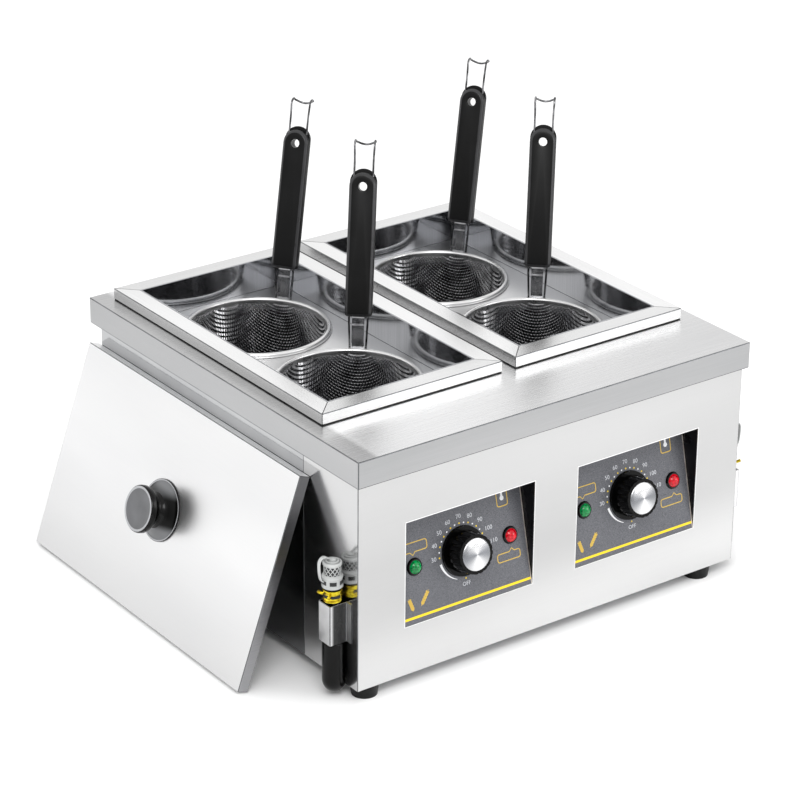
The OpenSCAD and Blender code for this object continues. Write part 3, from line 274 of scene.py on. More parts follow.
smooth = {  # name, two colours, roughness, size of the patches, shades
    # painted shade on the left side panel: below the lid's top it darkens to 0.4, where the lid shades it
    "lidSideSteel": ("lidSideRolledSteel", ("#aeafb1", "#c0c1c2"), 0.12, 0.09, [("Z", 0.14, 0.2, 0.4)]),
    # a bright strip round each window, a painted highlight on the fascia's edge
    "windowEdge": ("windowCutSteel", ("#f0f0f0", "#fafafa"), 0.3, 0.01),
    # a light warm strip at the pocket's crease, a painted highlight of its lit edge
    "creaseEdge": ("pocketCreaseSteel", ("#d6ccc2", "#ece4dc"), 0.55, 0.01),
    # dark steel on every bevel of the folded sheets: painted shade along the folds and cut edges
    "foldLine": ("foldedEdgeSteel", ("#626365", "#7e7f81"), 0.2, 0.02),
    # the lid's inner faces are dark steel, a painted shade for the inside of the leaning lid
    "lidInside": ("lidInsideMillSteel", ("#3a3a3c", "#48484a"), 0.3, 0.05),
    "holderSteel": ("holderRolledSteel", ("#e2e2e3", "#f0f0f0"), 0.42, 0.02),
    # painted shade on the left holder's front: it darkens to 0.07 towards the cabinet, beside the dark lid
    "holderFront": ("holderFrontRolledSteel", ("#cfcfd0", "#dcdcdd"), 0.25, 0.02,
                    [("X", middleX - 0.2555, middleX - 0.2515, 1.0, 0.07)]),
    # the pocket walls are near-black steel, a painted dark reflection of the panel they face
    "pocketSteel": ("pocketPaintedSteel", ("#242427", "#323236"), 0.3, 0.03),
    "ringSteel": ("ringRolledSteel", ("#cecece", "#e0e0e0"), 0.3, 0.04),
    # bright steel wire with near-black patches: painted dark reflections
    "wireSteel": ("wireBrightSteel", ("#1c1c1e", "#9a9a9c"), 0.1, 0.009),
    "bracketSteel": ("bracketPressedSteel", ("#9c9c9e", "#bababc"), 0.18, 0.006),
    "weaveSteel": ("weaveDrawnSteel", ("#868688", "#c0c0c2"), 0.15, 0.012),
    "innerSteel": ("innerGalvanisedSteel", ("#8f9295", "#b0b2b4"), 0.38, 0.012),
    "elementSteel": ("elementOxidisedSteel", ("#4a4744", "#6b6560"), 0.45, 0.006),
    "screwSteel": ("screwZincPlatedSteel", ("#b0b2b6", "#cfd0d3"), 0.28, 0.003),
}
moulded = {  # name, two colours, roughness, specular level, size and depth of the grain
    "slotBlack": ("clampSlotShade", ("#030303", "#070707"), 0.5),
    "phenolic": ("gripMouldedPhenolic", ("#030303", "#060607"), 0.34, 0.2),
    # a lighter copy of the grip's phenolic on its rounded edges and chamfer: a painted highlight
    "phenolicEdge": ("gripMouldedEdge", ("#2a2a2b", "#39393b"), 0.3, 0.3),
    "knobPlastic": ("knobMouldedPhenolic", ("#010101", "#030303"), 0.12, 0.14, 0.0005, 0.000002),
    "lidKnobPlastic": ("lidKnobPhenolic", ("#030303", "#080808"), 0.16, 0.2, 0.0005, 0.000004),
    # light grey on the knob's black edges: a painted highlight on the base's rolled edge and the cap's rim
    "lidKnobRing": ("lidKnobRing", ("#9a9b9e", "#b2b3b6"), 0.3, 0.5, 0.0005, 0.000004),
    "rubber": ("footMouldedRubber", ("#060607", "#0d0d0e"), 0.45, 0.25, 0.0006),
    "hoseRubber": ("hoseExtrudedRubber", ("#020202", "#050505"), 0.2, 0.18, 0.0007),
    "seal": ("sealSilicone", ("#050505", "#0a0a0a"), 0.5, 0.2, 0.0008),
    "whitePlastic": ("hoseEndNylon", ("#a9abaa", "#c6c8c7"), 0.22, 0.5, 0.0006),
    # near-black plates on the hose end's collar and behind its lattice: painted shade in its openings
    "darkWindow": ("hoseEndWindow", ("#0c0d0e", "#17181a"), 0.35, 0.5, 0.0006),
    "greyPlastic": ("lidKnobInsert", ("#4a4b4d", "#66676a"), 0.3, 0.5, 0.0008),
    "terminalPlastic": ("terminalNylon", ("#d8d3c2", "#e6e2d4"), 0.5, 0.5, 0.0006, 0.00002),
    "cablePlastic": ("cableSheath", ("#151515", "#1f1f1f"), 0.5, 0.5, 0.0006, 0.00002),
    "thermostatCase": ("thermostatPhenolic", ("#4a3323", "#5d4230"), 0.5, 0.5, 0.0006, 0.00002),
    "bezel": ("lampBezelNylon", ("#050505", "#0a0a0a"), 0.2, 0.3, 0.0006, 0.000004),
}
inks = {"whiteInk": "#e9eaec", "greyInk": "#c9cbd0", "yellowInk": "#f0cf12", "goldInk": "#cdab45"}
finishes = {
    "panel": panelPaint("printedPanelFilm", ("#494a4f", "#727378"), (0.42, 0.6)),
    "spun": spunAluminiumPaintedFans("spunAluminiumPaintedFans", ("#87898d", "#ededee")),
    "green": lampLens("greenLens", "#003a1c", "#00a552"),
    "red": lampLens("redLens", "#7d0009", "#ee1228"),
    "lidKnobPolish": paintedReflectionDisc("lidKnobBasePaintedReflection", "#020202", "#767779", 0.011, 0.021),
}
for make, table in ((brushedSteel, brushed), (smoothMetal, smooth), (mouldedPlastic, moulded)):
    finishes.update({finish: make(*row) for finish, row in table.items()})
finishes.update({name: plainInk(name, code) for name, code in inks.items()})
nodesOf = {
    "worktopSteel": "worktop", "fasciaSteel": "front_fascia", "sideSteel": "left_side_panel right_side_panel",
    "backSteel": "back_panel", "innerSteel": "bottom_plate", "tankSteel": "left_tank right_tank plate_lugs",
    "rimSteel": "tank_rims", "seal": "rim_seals", "plateSteel": "left_basket_plate right_basket_plate",
    "pocketSteel": "panel_pockets", "panel": "control_panels", "knobPlastic": "left_knob right_knob",
    "spun": "left_knob_cap right_knob_cap", "screwSteel": "left_shaft right_shaft screws lid_screw",
    "thermostatCase": "thermostats", "bezel": "lamp_bodies", "green": "green_lenses", "red": "red_lenses",
    "elementSteel": "elements", "terminalPlastic": "terminal_block", "cablePlastic": "wiring cable_gland",
    "rubber": "feet", "hoseRubber": "drain_hoses", "holderSteel": "hose_holders", "zinc": "hose_clamps",
    "whitePlastic": "hose_ends left_drain_cap right_drain_cap", "lidSteel": "lid",
    "lidKnobPlastic": "lid_knob",
}
nodeFinish = {node: finish for finish, names in nodesOf.items() for node in names.split()}
for number in "1234":
    nodeFinish.update({f"basket_{number}_{part}": finish for part, finish in (
        ("ring", "ringSteel"), ("mesh", "weaveSteel"), ("bracket", "bracketSteel"), ("wire", "wireSteel"),
        ("grip", "phenolic"))})
for name, finish in nodeFinish.items():
    takeFinishes(nodes[name].data, finish)
print("finishes on", len(nodeFinish), "solids")


# Mesh tools

def placeMesh(name, points, faces, finish, body, slot, replaced=(), smooth=True, sharp=0):
    # Points in metres in the shared frame, faces as lists of point numbers. Edges of more than sharp
    # degrees stay sharp.
    mesh = bpy.data.meshes.new(name)
    mesh.from_pydata(np.asarray(points, float).tolist(), [], [list(map(int, f)) for f in faces])
    takeFinishes(mesh, finish)
    mesh.polygons.foreach_set("use_smooth", [smooth] * len(mesh.polygons))
    mesh.update()
    if sharp:
        mesh.set_sharp_from_angle(angle=math.radians(sharp))
    piece = linked(name, mesh)
    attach(piece, body)
    if replaced:
        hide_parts(*replaced)
    return piece


def gridFaces(rows, columns, looped=False):
    # quads between neighbouring rows of points; the columns wrap round, and the rows do too if looped
    i, k = np.meshgrid(np.arange(rows if looped else rows - 1), np.arange(columns), indexing="ij")
    h, j = (i + 1) % rows, (k + 1) % columns
    quads = [i * columns + k, i * columns + j, h * columns + j, h * columns + k]
    return np.stack(quads, axis=-1).reshape(-1, 4)


def tubeFaces(rows, columns):
    # the same grid as quads in a list, closed at both ends by a many-sided face
    last = (rows - 1) * columns
    ends = [list(range(columns))[::-1], list(range(last, last + columns))]
    return [list(f) for f in gridFaces(rows, columns)] + ends


def turnedRings(profile, sides):
    # a profile of radius and height, run once round the z axis
    angle = np.arange(sides) * 2 * np.pi / sides
    return np.vstack([np.column_stack([r * np.cos(angle), r * np.sin(angle), np.full(sides, z)])
                      for r, z in profile])


def unit(vectors):
    # each vector divided by its own length
    return vectors / np.linalg.norm(vectors, axis=-1, keepdims=True)


def turnZ(degrees):
    # a turn about z: the cosine and sine of the angle in its first two rows
    c, s = math.cos(math.radians(degrees)), math.sin(math.radians(degrees))
    return np.array([[c, -s, 0], [s, c, 0], [0, 0, 1]])


def roundedCopy(name, node, finish, fold, body="cabinet"):
    # A copy of the solid, its doubles merged and its flat faces joined, with a small live bevel that takes
    # the last finish, dark steel as a painted shade on the bends and cut edges. A face's breadth is twice its
    # area by
    # its perimeter: an edge between two faces broader than the sheet is thick is a fold and gets the whole
    # width, the cut edge of a sheet gets less.
    mesh = nodes[node].data.copy()
    mesh.name = name
    shape = bmesh.new()
    shape.from_mesh(mesh)
    bmesh.ops.remove_doubles(shape, verts=shape.verts, dist=1e-6)
    bmesh.ops.dissolve_limit(shape, angle_limit=math.radians(1), verts=shape.verts, edges=shape.edges)
    breadth = {face: 2 * face.calc_area() / face.calc_perimeter() for face in shape.faces}
    weights = shape.edges.layers.float.new("bevel_weight_edge")
    fold = sheetWork[fold]
    for edge in shape.edges:
        if len(edge.link_faces) == 2 and edge.calc_face_angle(0) > math.radians(sheetWork["crease"]):
            broad = min(breadth[face] for face in edge.link_faces) > sheetWork["broad"] * mm
            edge[weights] = 1.0 if broad else min(sheetWork["cut"] / fold, 1.0)
    shape.to_mesh(mesh)
    shape.free()
    takeFinishes(mesh, finish)
    mesh.polygons.foreach_set("use_smooth", [True] * len(mesh.polygons))
    piece = linked(name, mesh)
    bevel = piece.modifiers.new("edges", "BEVEL")
    bevel.width = fold * mm
    bevel.segments = 3
    bevel.limit_method = "WEIGHT"
    bevel.use_clamp_overlap = False
    bevel.harden_normals = True
    bevel.material = len(mesh.materials) - 1
    flatness = piece.modifiers.new("flatness", "WEIGHTED_NORMAL")
    flatness.weight = 100
    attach(piece, body)
    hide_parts(node)
    return piece


def faceTable(piece):
    # each face's normal, middle and area
    count = len(piece.data.polygons)
    normals, middles, areas = np.zeros(count * 3), np.zeros(count * 3), np.zeros(count)
    piece.data.polygons.foreach_get("normal", normals)
    piece.data.polygons.foreach_get("center", middles)
    piece.data.polygons.foreach_get("area", areas)
    return normals.reshape(-1, 3), middles.reshape(-1, 3), areas


def setFinish(piece, chosen, number):
    # the chosen faces get one of the piece's other finishes
    index = np.zeros(len(piece.data.polygons), np.int32)
    piece.data.polygons.foreach_get("material_index", index)
    index[chosen] = number
    piece.data.polygons.foreach_set("material_index", index)
    piece.data.update()


# Sheet metal with folded edges

sheetWork = {"topFold": 0.9, "fasciaFold": 0.7, "rimFold": 0.8, "lidFold": 0.7, "holderFold": 0.8,
             "broad": 1.7, "cut": 0.25, "crease": 30, "rimGap": 16.0}  # in mm, but the crease in degrees

piece = roundedCopy("worktopFolded", "worktop", "worktopSteel worktopSide worktopFront foldLine", "topFold")
normals = faceTable(piece)[0]
# the side folds and the front skirt take the darker copies, a painted shade
setFinish(piece, abs(normals[:, 0]) > 0.7, 1)
setFinish(piece, abs(normals[:, 1]) > 0.7, 2)
piece = roundedCopy("fasciaFolded", "front_fascia", "fasciaSteel fasciaSide foldLine", "fasciaFold")
setFinish(piece, abs(faceTable(piece)[0][:, 0]) > 0.7, 1)
piece = roundedCopy("rimsMitred", "tank_rims", "rimSteel rimSteelAlong foldLine", "rimFold")
middles = faceTable(piece)[1]
rimLow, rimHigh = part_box("tank_rims")
halfDeep = (rimHigh.y - rimLow.y) / 2
halfGap = sheetWork["rimGap"] / 2 * mm
halfWide = (rimHigh.x - middleX - halfGap) / 2  # half a rim, beside half the gap between the two
overX = abs(abs(middles[:, 0] - middleX) - halfGap - halfWide) - halfWide
overY = abs(middles[:, 1] - (rimHigh.y + rimLow.y) / 2) - halfDeep
setFinish(piece, overX > overY, 1)  # the strips that run front to back
piece = roundedCopy("lidFolded", "lid", "lidSteel lidEdge lidInside foldLine", "lidFold", "lid")
normals, middles, areas = faceTable(piece)
lidFace = np.argmax(np.where(normals[:, 0] < 0, areas, 0))  # the largest face away from the cabinet
outward, lidMiddle = normals[lidFace], middles[lidFace]
setFinish(piece, abs(normals[:, 1]) > 0.7, 1)
# the faces turned towards the cabinet take the dark painted shade
setFinish(piece, normals @ outward < -0.7, 2)
# the left side panel, behind the lid, takes the finish with the painted shade
for side, finish in (("left", "lidSideSteel"), ("right", "sideSteel")):
    roundedCopy(f"{side}SideRolled", f"{side}_side_panel", finish + " foldLine", "fasciaFold")
piece = roundedCopy("holdersFolded", "hose_holders", "holderSteel holderFront foldLine", "holderFold")
normals, middles, areas = faceTable(piece)
# the left holder's front takes the painted shade
setFinish(piece, (abs(normals[:, 1]) > 0.7) & (middles[:, 0] < middleX), 1)  # the left one faces the dark lid
print("sheets folded")

lidKnob = {"base": 31.6, "cap": 24.0, "waist": 16.0, "high": 28.7, "lift": 0.05, "sides": 96}


def turnLidKnob(middle, across, outward):
    # The lid's knob is turned: its profile (radius, height) runs once round the lid's outward axis.
    # Base disc with a rolled edge, waist, cap with a raised ring and a shallow insert.
    b, c, w, h = (lidKnob[key] for key in ("base", "cap", "waist", "high"))
    profile = [(0.05, 0), (b - 0.5, 0), (b, 0.5), (b, 1.2), (b - 0.5, 1.6), (b - 1.3, 1.6), (b - 1.8, 1.35),
               (b - 5, 3.4), (w + 5, 6.2), (w + 2.2, 8.5), (w + 0.5, 11), (w, 13.5), (w + 0.6, 16),
               (w + 2.5, h - 10.2), (c - 1.5, h - 7.7), (c - 0.4, h - 7.1), (c, h - 6.2), (c, h - 2.6),
               (c - 0.5, h - 1.3), (c - 1.3, h - 0.5), (c - 2.2, h), (c - 3.0, h - 0.1), (c - 3.6, h - 0.7),
               (c - 4.4, h - 0.9), (8, h - 0.7), (0.05, h - 0.6)]
    local = turnedRings(profile, lidKnob["sides"]) + [0, 0, lidKnob["lift"]]
    points = middle + local @ np.array([across, np.cross(outward, across), outward]) * mm
    piece = placeMesh("lidKnobTurned", points, tubeFaces(len(profile), lidKnob["sides"]),
                      "lidKnobPlastic greyPlastic lidKnobRing lidKnobPolish", "lid", "black_plastic",
                      ["lid_knob"])
    band = np.arange(len(piece.data.polygons)) // lidKnob["sides"]  # each face's step of the profile
    setFinish(piece, band > 21, 1)
    # the base's rolled edge and the cap's rim take the painted highlight
    setFinish(piece, np.isin(band, [4, 5, 19, 20, 21]), 2)
    # the base's cone takes the painted reflection
    setFinish(piece, np.isin(band, [6, 7, 8]), 3)
    setFinish(piece, len(band) - 2, 0)


turnLidKnob(lidMiddle, np.array([0.0, 1.0, 0.0]), outward)


# Baskets of woven wire

basket = {"reach": 69.5, "depth": 129.3, "top": -1.0, "corner": 25.6, "pitch": 3.4, "wire": 0.34,
          "crimp": 0.42, "pitchX": 229.7, "middleY": 34.4, "pitchY": 161.5, "plateZ": 234.9,
          "turns": {1: 36, 2: 48, 3: 36, 4: 48}, "sides": {1: (-1, 1), 2: (-1, -1), 3: (1, 1), 4: (1, -1)}}


def basketMiddle(number):
    # half a pitch left or right of the cabinet's middle, half a pitch before or behind the tank's
    sx, sy = basket["sides"][number]
    return np.array([middleX / mm + sx * basket["pitchX"] / 2, basket["middleY"] + sy * basket["pitchY"] / 2,
                     basket["plateZ"]])


def atBasket(points, number):
    # from a basket's own frame, x away along its handle, to the shared frame in metres
    return (np.asarray(points, float) @ turnZ(basket["turns"][number]).T + basketMiddle(number)) * mm


def cupPoint(x, y):
    # Flat cloth to cup: the distance from the middle is walked along the profile, first the floor,
    # then the quarter circle of the corner, then the wall; also gives the outward normal.
    rho = np.hypot(x, y)
    angle = np.arctan2(y, x)
    flat = basket["reach"] - basket["corner"]
    quarter = basket["corner"] * np.pi / 2
    turn = np.clip((rho - flat) / basket["corner"], 0, np.pi / 2)
    up = np.maximum(rho - flat - quarter, 0)
    r = np.minimum(rho, flat) + basket["corner"] * np.sin(turn)
    z = -basket["depth"] + basket["corner"] * (1 - np.cos(turn)) + up
    place = np.stack([r * np.cos(angle), r * np.sin(angle), z], -1)
    normal = np.stack([np.sin(turn) * np.cos(angle), np.sin(turn) * np.sin(angle), -np.cos(turn)], -1)
    return place, normal


def wovenWires(across):
    # One set of parallel wires: on wire i at crossing j the wire lies above or below the other set by the
    # crimp, and gets a square of four points round it, across the normal and sideways to the wire.
    pitch, wire, corner = basket["pitch"], basket["wire"], basket["corner"]
    reach = basket["reach"] - 2 * corner + corner * np.pi / 2 + basket["depth"] + basket["top"]
    count = int(reach / pitch) + 1
    i, j = np.meshgrid(np.arange(-count, count + 1), np.arange(-count, count + 1), indexing="ij")
    a, b = (i + 0.5) * pitch, (j + 0.5) * pitch
    x, y = (b, a) if across else (a, b)
    kept = np.hypot(a, b) < reach
    step = 0.05 * pitch * np.array([across, not across])
    place, normal = cupPoint(x, y)
    way = unit(cupPoint(x + step[0], y + step[1])[0] - cupPoint(x - step[0], y - step[1])[0])
    side = unit(np.cross(way, normal))
    sign = np.where((i + j) % 2 == 0, 1.0, -1.0) * (1 if across else -1)
    middle = place + normal * (sign * basket["crimp"])[..., None]
    corners = np.stack([middle + normal * wire, middle + side * wire,
                        middle - normal * wire, middle - side * wire], axis=-2)
    number = -np.ones(kept.shape, int)
    number[kept] = np.arange(kept.sum()) * 4
    both = kept[:, :-1] & kept[:, 1:]
    low, high = number[:, :-1][both][:, None], number[:, 1:][both][:, None]
    k, after = np.arange(4), (np.arange(4) + 1) % 4
    walls = np.stack([low + k, low + after, high + after, high + k], -1).reshape(-1, 4)
    padded = np.pad(kept, ((0, 0), (1, 1)))
    first, last = number[kept & ~padded[:, :-2]][:, None], number[kept & ~padded[:, 2:]][:, None]
    return corners[kept].reshape(-1, 3), np.concatenate([walls, first + k[::-1], last + k])


firstPoints, firstFaces = wovenWires(False)
secondPoints, secondFaces = wovenWires(True)
clothPoints = np.concatenate([firstPoints, secondPoints])
clothFaces = np.concatenate([firstFaces, secondFaces + len(firstPoints)])
for number in (1, 2, 3, 4):
    placeMesh(f"wovenBasket{number}", atBasket(clothPoints, number), clothFaces, "weaveSteel",
              f"basket_{number}", "woven_steel_mesh", [f"basket_{number}_mesh"], smooth=False)
print("baskets woven,", len(clothFaces) * 2, "triangles each")

ringShape = {"hole": 70.3, "skirt": 71.2, "out": 76.6, "bead": 2.3, "beadR": 72.95, "beadZ": 2.3,
             "edge": 0.75, "low": -8.0, "under": 0.1, "flat": 0.35, "sides": 96}


def rolledRing():
    # The ring is rolled: its profile (radius, height) runs once round the basket. Skirt, bead, groove,
    # flange with a small roll at its edge, and back below the flange to the skirt.
    r = ringShape
    a = np.radians(np.linspace(180, -35, 12))
    bead = np.stack([r["beadR"] + (r["bead"] + r["flat"]) * np.cos(a),
                     r["beadZ"] + r["bead"] * np.sin(a)], -1)
    e = np.radians(np.linspace(135, -90, 8))
    edge = np.stack([r["out"] - r["edge"] + r["edge"] * np.cos(e),
                     r["under"] + r["edge"] * (1 + np.sin(e))], -1)
    profile = np.vstack([[[r["hole"], r["low"]], [r["hole"], 0.0]], bead, edge,
                         [[r["skirt"], r["under"]], [r["skirt"], r["low"]]]])
    return turnedRings(profile, r["sides"]), gridFaces(len(profile), r["sides"], True)[:, ::-1]


ringPoints, ringFaces = rolledRing()
for number in (1, 2, 3, 4):
    placeMesh(f"ringRolled{number}", (ringPoints + basketMiddle(number)) * mm, ringFaces, "ringSteel",
              f"basket_{number}", "polished_steel_sheet", [f"basket_{number}_ring"], sharp=50)
print("rings rolled")


# Handles: bent wire and two-part grips

handle = {"kneeR": 81.52, "kneeZ": 34.93, "lean": 18.0, "grip": 149.0, "hook": 22.0, "gap": 19.0,
          "foot": 16.4, "footR": 76.2, "footZ": 2.75, "wire": 1.1, "bend": 6.0, "sag": 5.5, "over": 125}


def alongGrip(points):
    # from the grip's frame (x away from the basket, y across, z up the grip) to the basket's frame
    c, s = math.cos(math.radians(handle["lean"])), math.sin(math.radians(handle["lean"]))
    tilt = np.array([[c, 0, s], [0, 1, 0], [-s, 0, c]])
    return np.asarray(points, float) @ tilt.T + [handle["kneeR"], 0, handle["kneeZ"]]


def smoothLine(points, steps):
    # Smooth curve through the points: each span is a cubic whose end slopes are half the chord
    # between the neighbours on either side
    p = np.asarray(points, float)
    p = np.vstack([2 * p[0] - p[1], p, 2 * p[-1] - p[-2]])
    t = (np.arange(steps) / steps)[None, :, None]
    a, b, c, d = (q[:, None, :] for q in (p[:-3], p[1:-2], p[2:-1], p[3:]))
    line = 0.5 * (2 * b + (c - a) * t + (2 * a - 5 * b + 4 * c - d) * t ** 2
                  + (3 * b - a - 3 * c + d) * t ** 3)
    return np.vstack([line.reshape(-1, 3), p[-2]])


def tubeAlong(line, radius, sides, up):
    # rings of points round a line, square to it; radius is one number or one for each point
    way = unit(np.gradient(line, axis=0))
    across = unit(np.cross(way, up))
    over = np.cross(way, across)
    angle = (np.arange(sides) * 2 * np.pi / sides)[None, :, None]
    r = np.broadcast_to(np.asarray(radius, float), (len(line),))[:, None, None]
    rings = line[:, None, :] + r * (np.cos(angle) * across[:, None, :] + np.sin(angle) * over[:, None, :])
    return rings.reshape(-1, 3), tubeFaces(len(line), sides)


def handleWire():
    # one wire: foot, knee, up the grip, over the hook, along the sagging cross piece and back down
    lean, over = math.radians(handle["lean"]), math.radians(handle["over"])
    g, top = handle["gap"] / 2, handle["grip"] + handle["hook"]
    legTop = alongGrip([[0, g + 0.5, top]])[0]
    middle = legTop + handle["bend"] * np.array([math.cos(lean), 0, -math.sin(lean)])
    leg = [[0, g, 8], [0, g, 60], [0, g, handle["grip"] - 10], [0, g, handle["grip"] + 8],
           [0, g + 0.3, top - 4]]
    bend = np.array([middle + handle["bend"] * np.array([-math.cos(lean + a), 0, math.sin(lean + a)])
                     for a in np.radians(np.arange(0, handle["over"] + 1, 25))])
    end = bend[-1]
    fall = np.array([math.sin(lean + over), 0, math.cos(lean + over)])
    across = [end + fall * handle["sag"] * math.cos(math.pi / 2 * y) + [0, (y - 1) * end[1], 0]
              for y in (0.72, 0.4, 0.0, -0.4, -0.72)]
    half = np.vstack([[handle["footR"], handle["foot"] / 2, handle["footZ"]],
                      [handle["kneeR"] - 1, g - 0.2, handle["kneeZ"] - 8], alongGrip(leg), bend])
    return np.vstack([half, across, half[::-1] * [1, -1, 1]])


def gripOutline(width, low, high, corner, count):
    # Round-topped outline: both lower corners are small quarter circles, the top is one half circle.
    # count points, evenly spaced along the outline by interpolation of its length.
    a = np.linspace(0, np.pi, 33)
    top = np.stack([width * np.cos(a), high - width + width * np.sin(a)], -1)
    q = np.linspace(0, np.pi / 2, 7)
    left = np.stack([-width + corner - corner * np.cos(q), low + corner - corner * np.sin(q)], -1)
    path = np.vstack([top, left, (left * [-1, 1])[::-1], top[:1]])
    length = np.concatenate([[0], np.cumsum(np.linalg.norm(np.diff(path, axis=0), axis=1))])
    s = np.linspace(0, length[-1], count, endpoint=False)
    return np.stack([np.interp(s, length, path[:, 0]), np.interp(s, length, path[:, 1])], -1)


gripShape = {"half": 13.75, "low": 0.5, "high": 149.0, "thick": 7.0, "corner": 3.2, "seam": 0.2, "hole": 4.5,
             "holeUp": 131.25, "count": 160, "frontDrop": 3.6, "chamfer": 3.0, "rows": 12}


def gripHalf(front):
    # One moulded half: rings of the outline from the seam outwards, over a rounded edge and a chamfer to
    # the flat face, then in to the hanging hole and back through it, which closes the surface on itself.
    g = gripShape
    high = g["high"] - (g["frontDrop"] if front else 0)
    count, chamfer, thick, hole = g["count"], g["chamfer"], g["thick"], g["hole"]
    steps = [(0.5, g["seam"]), (0.0, g["seam"] + 0.6), (0.0, 3.4), (0.35, 4.6), (1.2, 5.5),
             (chamfer - 0.5, 6.6), (chamfer, thick - 0.15), (chamfer + 0.8, thick)]
    rings = [(gripOutline(g["half"] - inset, g["low"] + inset, high - inset,
                          max(g["corner"] - inset, 0.8), count), height) for inset, height in steps]
    middle = rings[-1][0] - [0, g["holeUp"]]
    rings += [(middle * r / np.linalg.norm(middle, axis=1)[:, None] + [0, g["holeUp"]], height)
              for r, height in ((hole + 1.6, thick), (hole + 0.5, thick - 0.25), (hole, thick - 0.9),
                                (hole, g["seam"]))]
    points = np.vstack([np.column_stack([np.full(count, height), ring]) for ring, height in rings])
    faces = gridFaces(len(rings), count, True)
    return (points * [-1, 1, 1], faces[:, ::-1]) if front else (points, faces)


def joined(parts):
    # several (points, faces) as one
    points, faces, start = [], [], 0
    for p, f in parts:
        points.append(np.asarray(p, float))
        faces += [[int(i) + start for i in face] for face in f]
        start += len(p)
    return np.vstack(points), faces


wireShape = tubeAlong(smoothLine(handleWire(), 6), handle["wire"], 10, (0.35, 0.94, 0.05))
gripParts = joined([gripHalf(True), gripHalf(False)])
row = np.arange(len(gripParts[1])) // gripShape["count"] % gripShape["rows"]
for number in (1, 2, 3, 4):
    placeMesh(f"handleWire{number}", atBasket(wireShape[0], number), wireShape[1], "wireSteel",
              f"basket_{number}", "bright_steel_wire", [f"basket_{number}_wire"])
    piece = placeMesh(f"handleGrip{number}", atBasket(alongGrip(gripParts[0]), number), gripParts[1],
                      "phenolic phenolicEdge", f"basket_{number}", "black_plastic",
                      [f"basket_{number}_grip"], sharp=35)
    # the rounded edge and chamfer take the lighter painted highlight
    setFinish(piece, (row > 2) & (row < 6), 1)
print("handles bent and moulded")


# Printing on the panels

panel = {"x": 104.0, "y": -233.4, "z": 64.9, "tilt": 13.3, "dial": 55.4, "ink": (0.02, 0.06),
         "dotRing": 27.6, "dot": 0.85, "numberRing": 34.4, "numberSize": 6.2, "offUp": 22.3, "offSize": 5.6,
         "stripe": (-77.0, 76.6, 4.9, 7.4), "line": 0.9, "corner": 2.4, "pointer": 3.0,
         "windowW": 154.3, "windowH": 111.3}


def onPanel(points, side):
    # u to the right, v up the tilted panel from its lower edge, n out of it; all in millimetres
    t = math.radians(panel["tilt"])
    u, v, n = np.asarray(points, float).T
    return np.stack([middleX / mm + side * panel["x"] + u, panel["y"] + v * math.sin(t) - n * math.cos(t),
                     panel["z"] + v * math.cos(t) + n * math.sin(t)], -1) * mm


def inkPlate(outline, height=None):
    # a flat outline, given anticlockwise, as a thin closed plate
    n = len(outline)
    points = np.vstack([np.column_stack([outline, np.full(n, z)]) for z in height or panel["ink"]])
    return points, tubeFaces(2, n)


def inkStroke(line, width, closed=False):
    # a line of even width: at each point the two edges lie half the width to either side, along the bisector
    p = np.asarray(line, float)
    way = unit(np.roll(p, -1, 0) - np.roll(p, 1, 0) if closed else np.gradient(p, axis=0))
    widths = np.broadcast_to(np.asarray(width, float), (len(p),))
    side = np.stack([-way[:, 1], way[:, 0]], -1) * widths[:, None] / 2
    low, high = panel["ink"]
    ring = [np.column_stack([p + s * side, np.full(len(p), h)])
            for s, h in ((1, low), (1, high), (-1, high), (-1, low))]
    return np.stack(ring, 1).reshape(-1, 3), gridFaces(len(p), 4, True) if closed else tubeFaces(len(p), 4)


def inkText(words, size, middle):
    # plain numbers from the built-in letters, centred on a point of the panel
    curve = bpy.data.curves.new("letters", "FONT")
    curve.body, curve.size = words, size
    curve.align_x = curve.align_y = "CENTER"
    curve.resolution_u = 3
    curve.extrude = (panel["ink"][1] - panel["ink"][0]) / 2
    holder = bpy.data.objects.new("letters", curve)
    mesh = bpy.data.meshes.new_from_object(holder)
    points = np.zeros(len(mesh.vertices) * 3)
    mesh.vertices.foreach_get("co", points)
    points = points.reshape(-1, 3) + [*middle, sum(panel["ink"]) / 2]
    faces = [list(f.vertices) for f in mesh.polygons]
    bpy.data.objects.remove(holder)
    bpy.data.curves.remove(curve)
    bpy.data.meshes.remove(mesh)
    return points, faces


def around(radius, degrees, middle=None):
    # a point on a circle round the dial
    a = np.radians(degrees)
    cu, cv = middle or (0, panel["dial"])
    return np.stack([cu + radius * np.cos(a), cv + radius * np.sin(a)], -1)


def discAt(middle, radius):
    # a small printed dot
    return inkPlate(around(radius, np.arange(14) * 360 / 14, tuple(middle)))


def speechBox(low, high, tip):
    # rounded box outline with a small pointer, tip is the pointer's end
    (u0, v0), (u1, v1) = low, high
    corner, base = panel["corner"], panel["pointer"]
    path = [around(corner, np.linspace(start, start + 90, 6), middle) for start, middle in (
        (0, (u1 - corner, v1 - corner)), (90, (u0 + corner, v1 - corner)), (180, (u0 + corner, v0 + corner)),
        (270, (u1 - corner, v0 + corner)))]
    place, edge, way = (1, v1, base) if tip[1] > v1 else (3, v0, -base)
    path.insert(place, np.array([[tip[0] + way, edge], tip, [tip[0] - way, edge]]))
    return inkStroke(np.vstack(path), panel["line"], True)


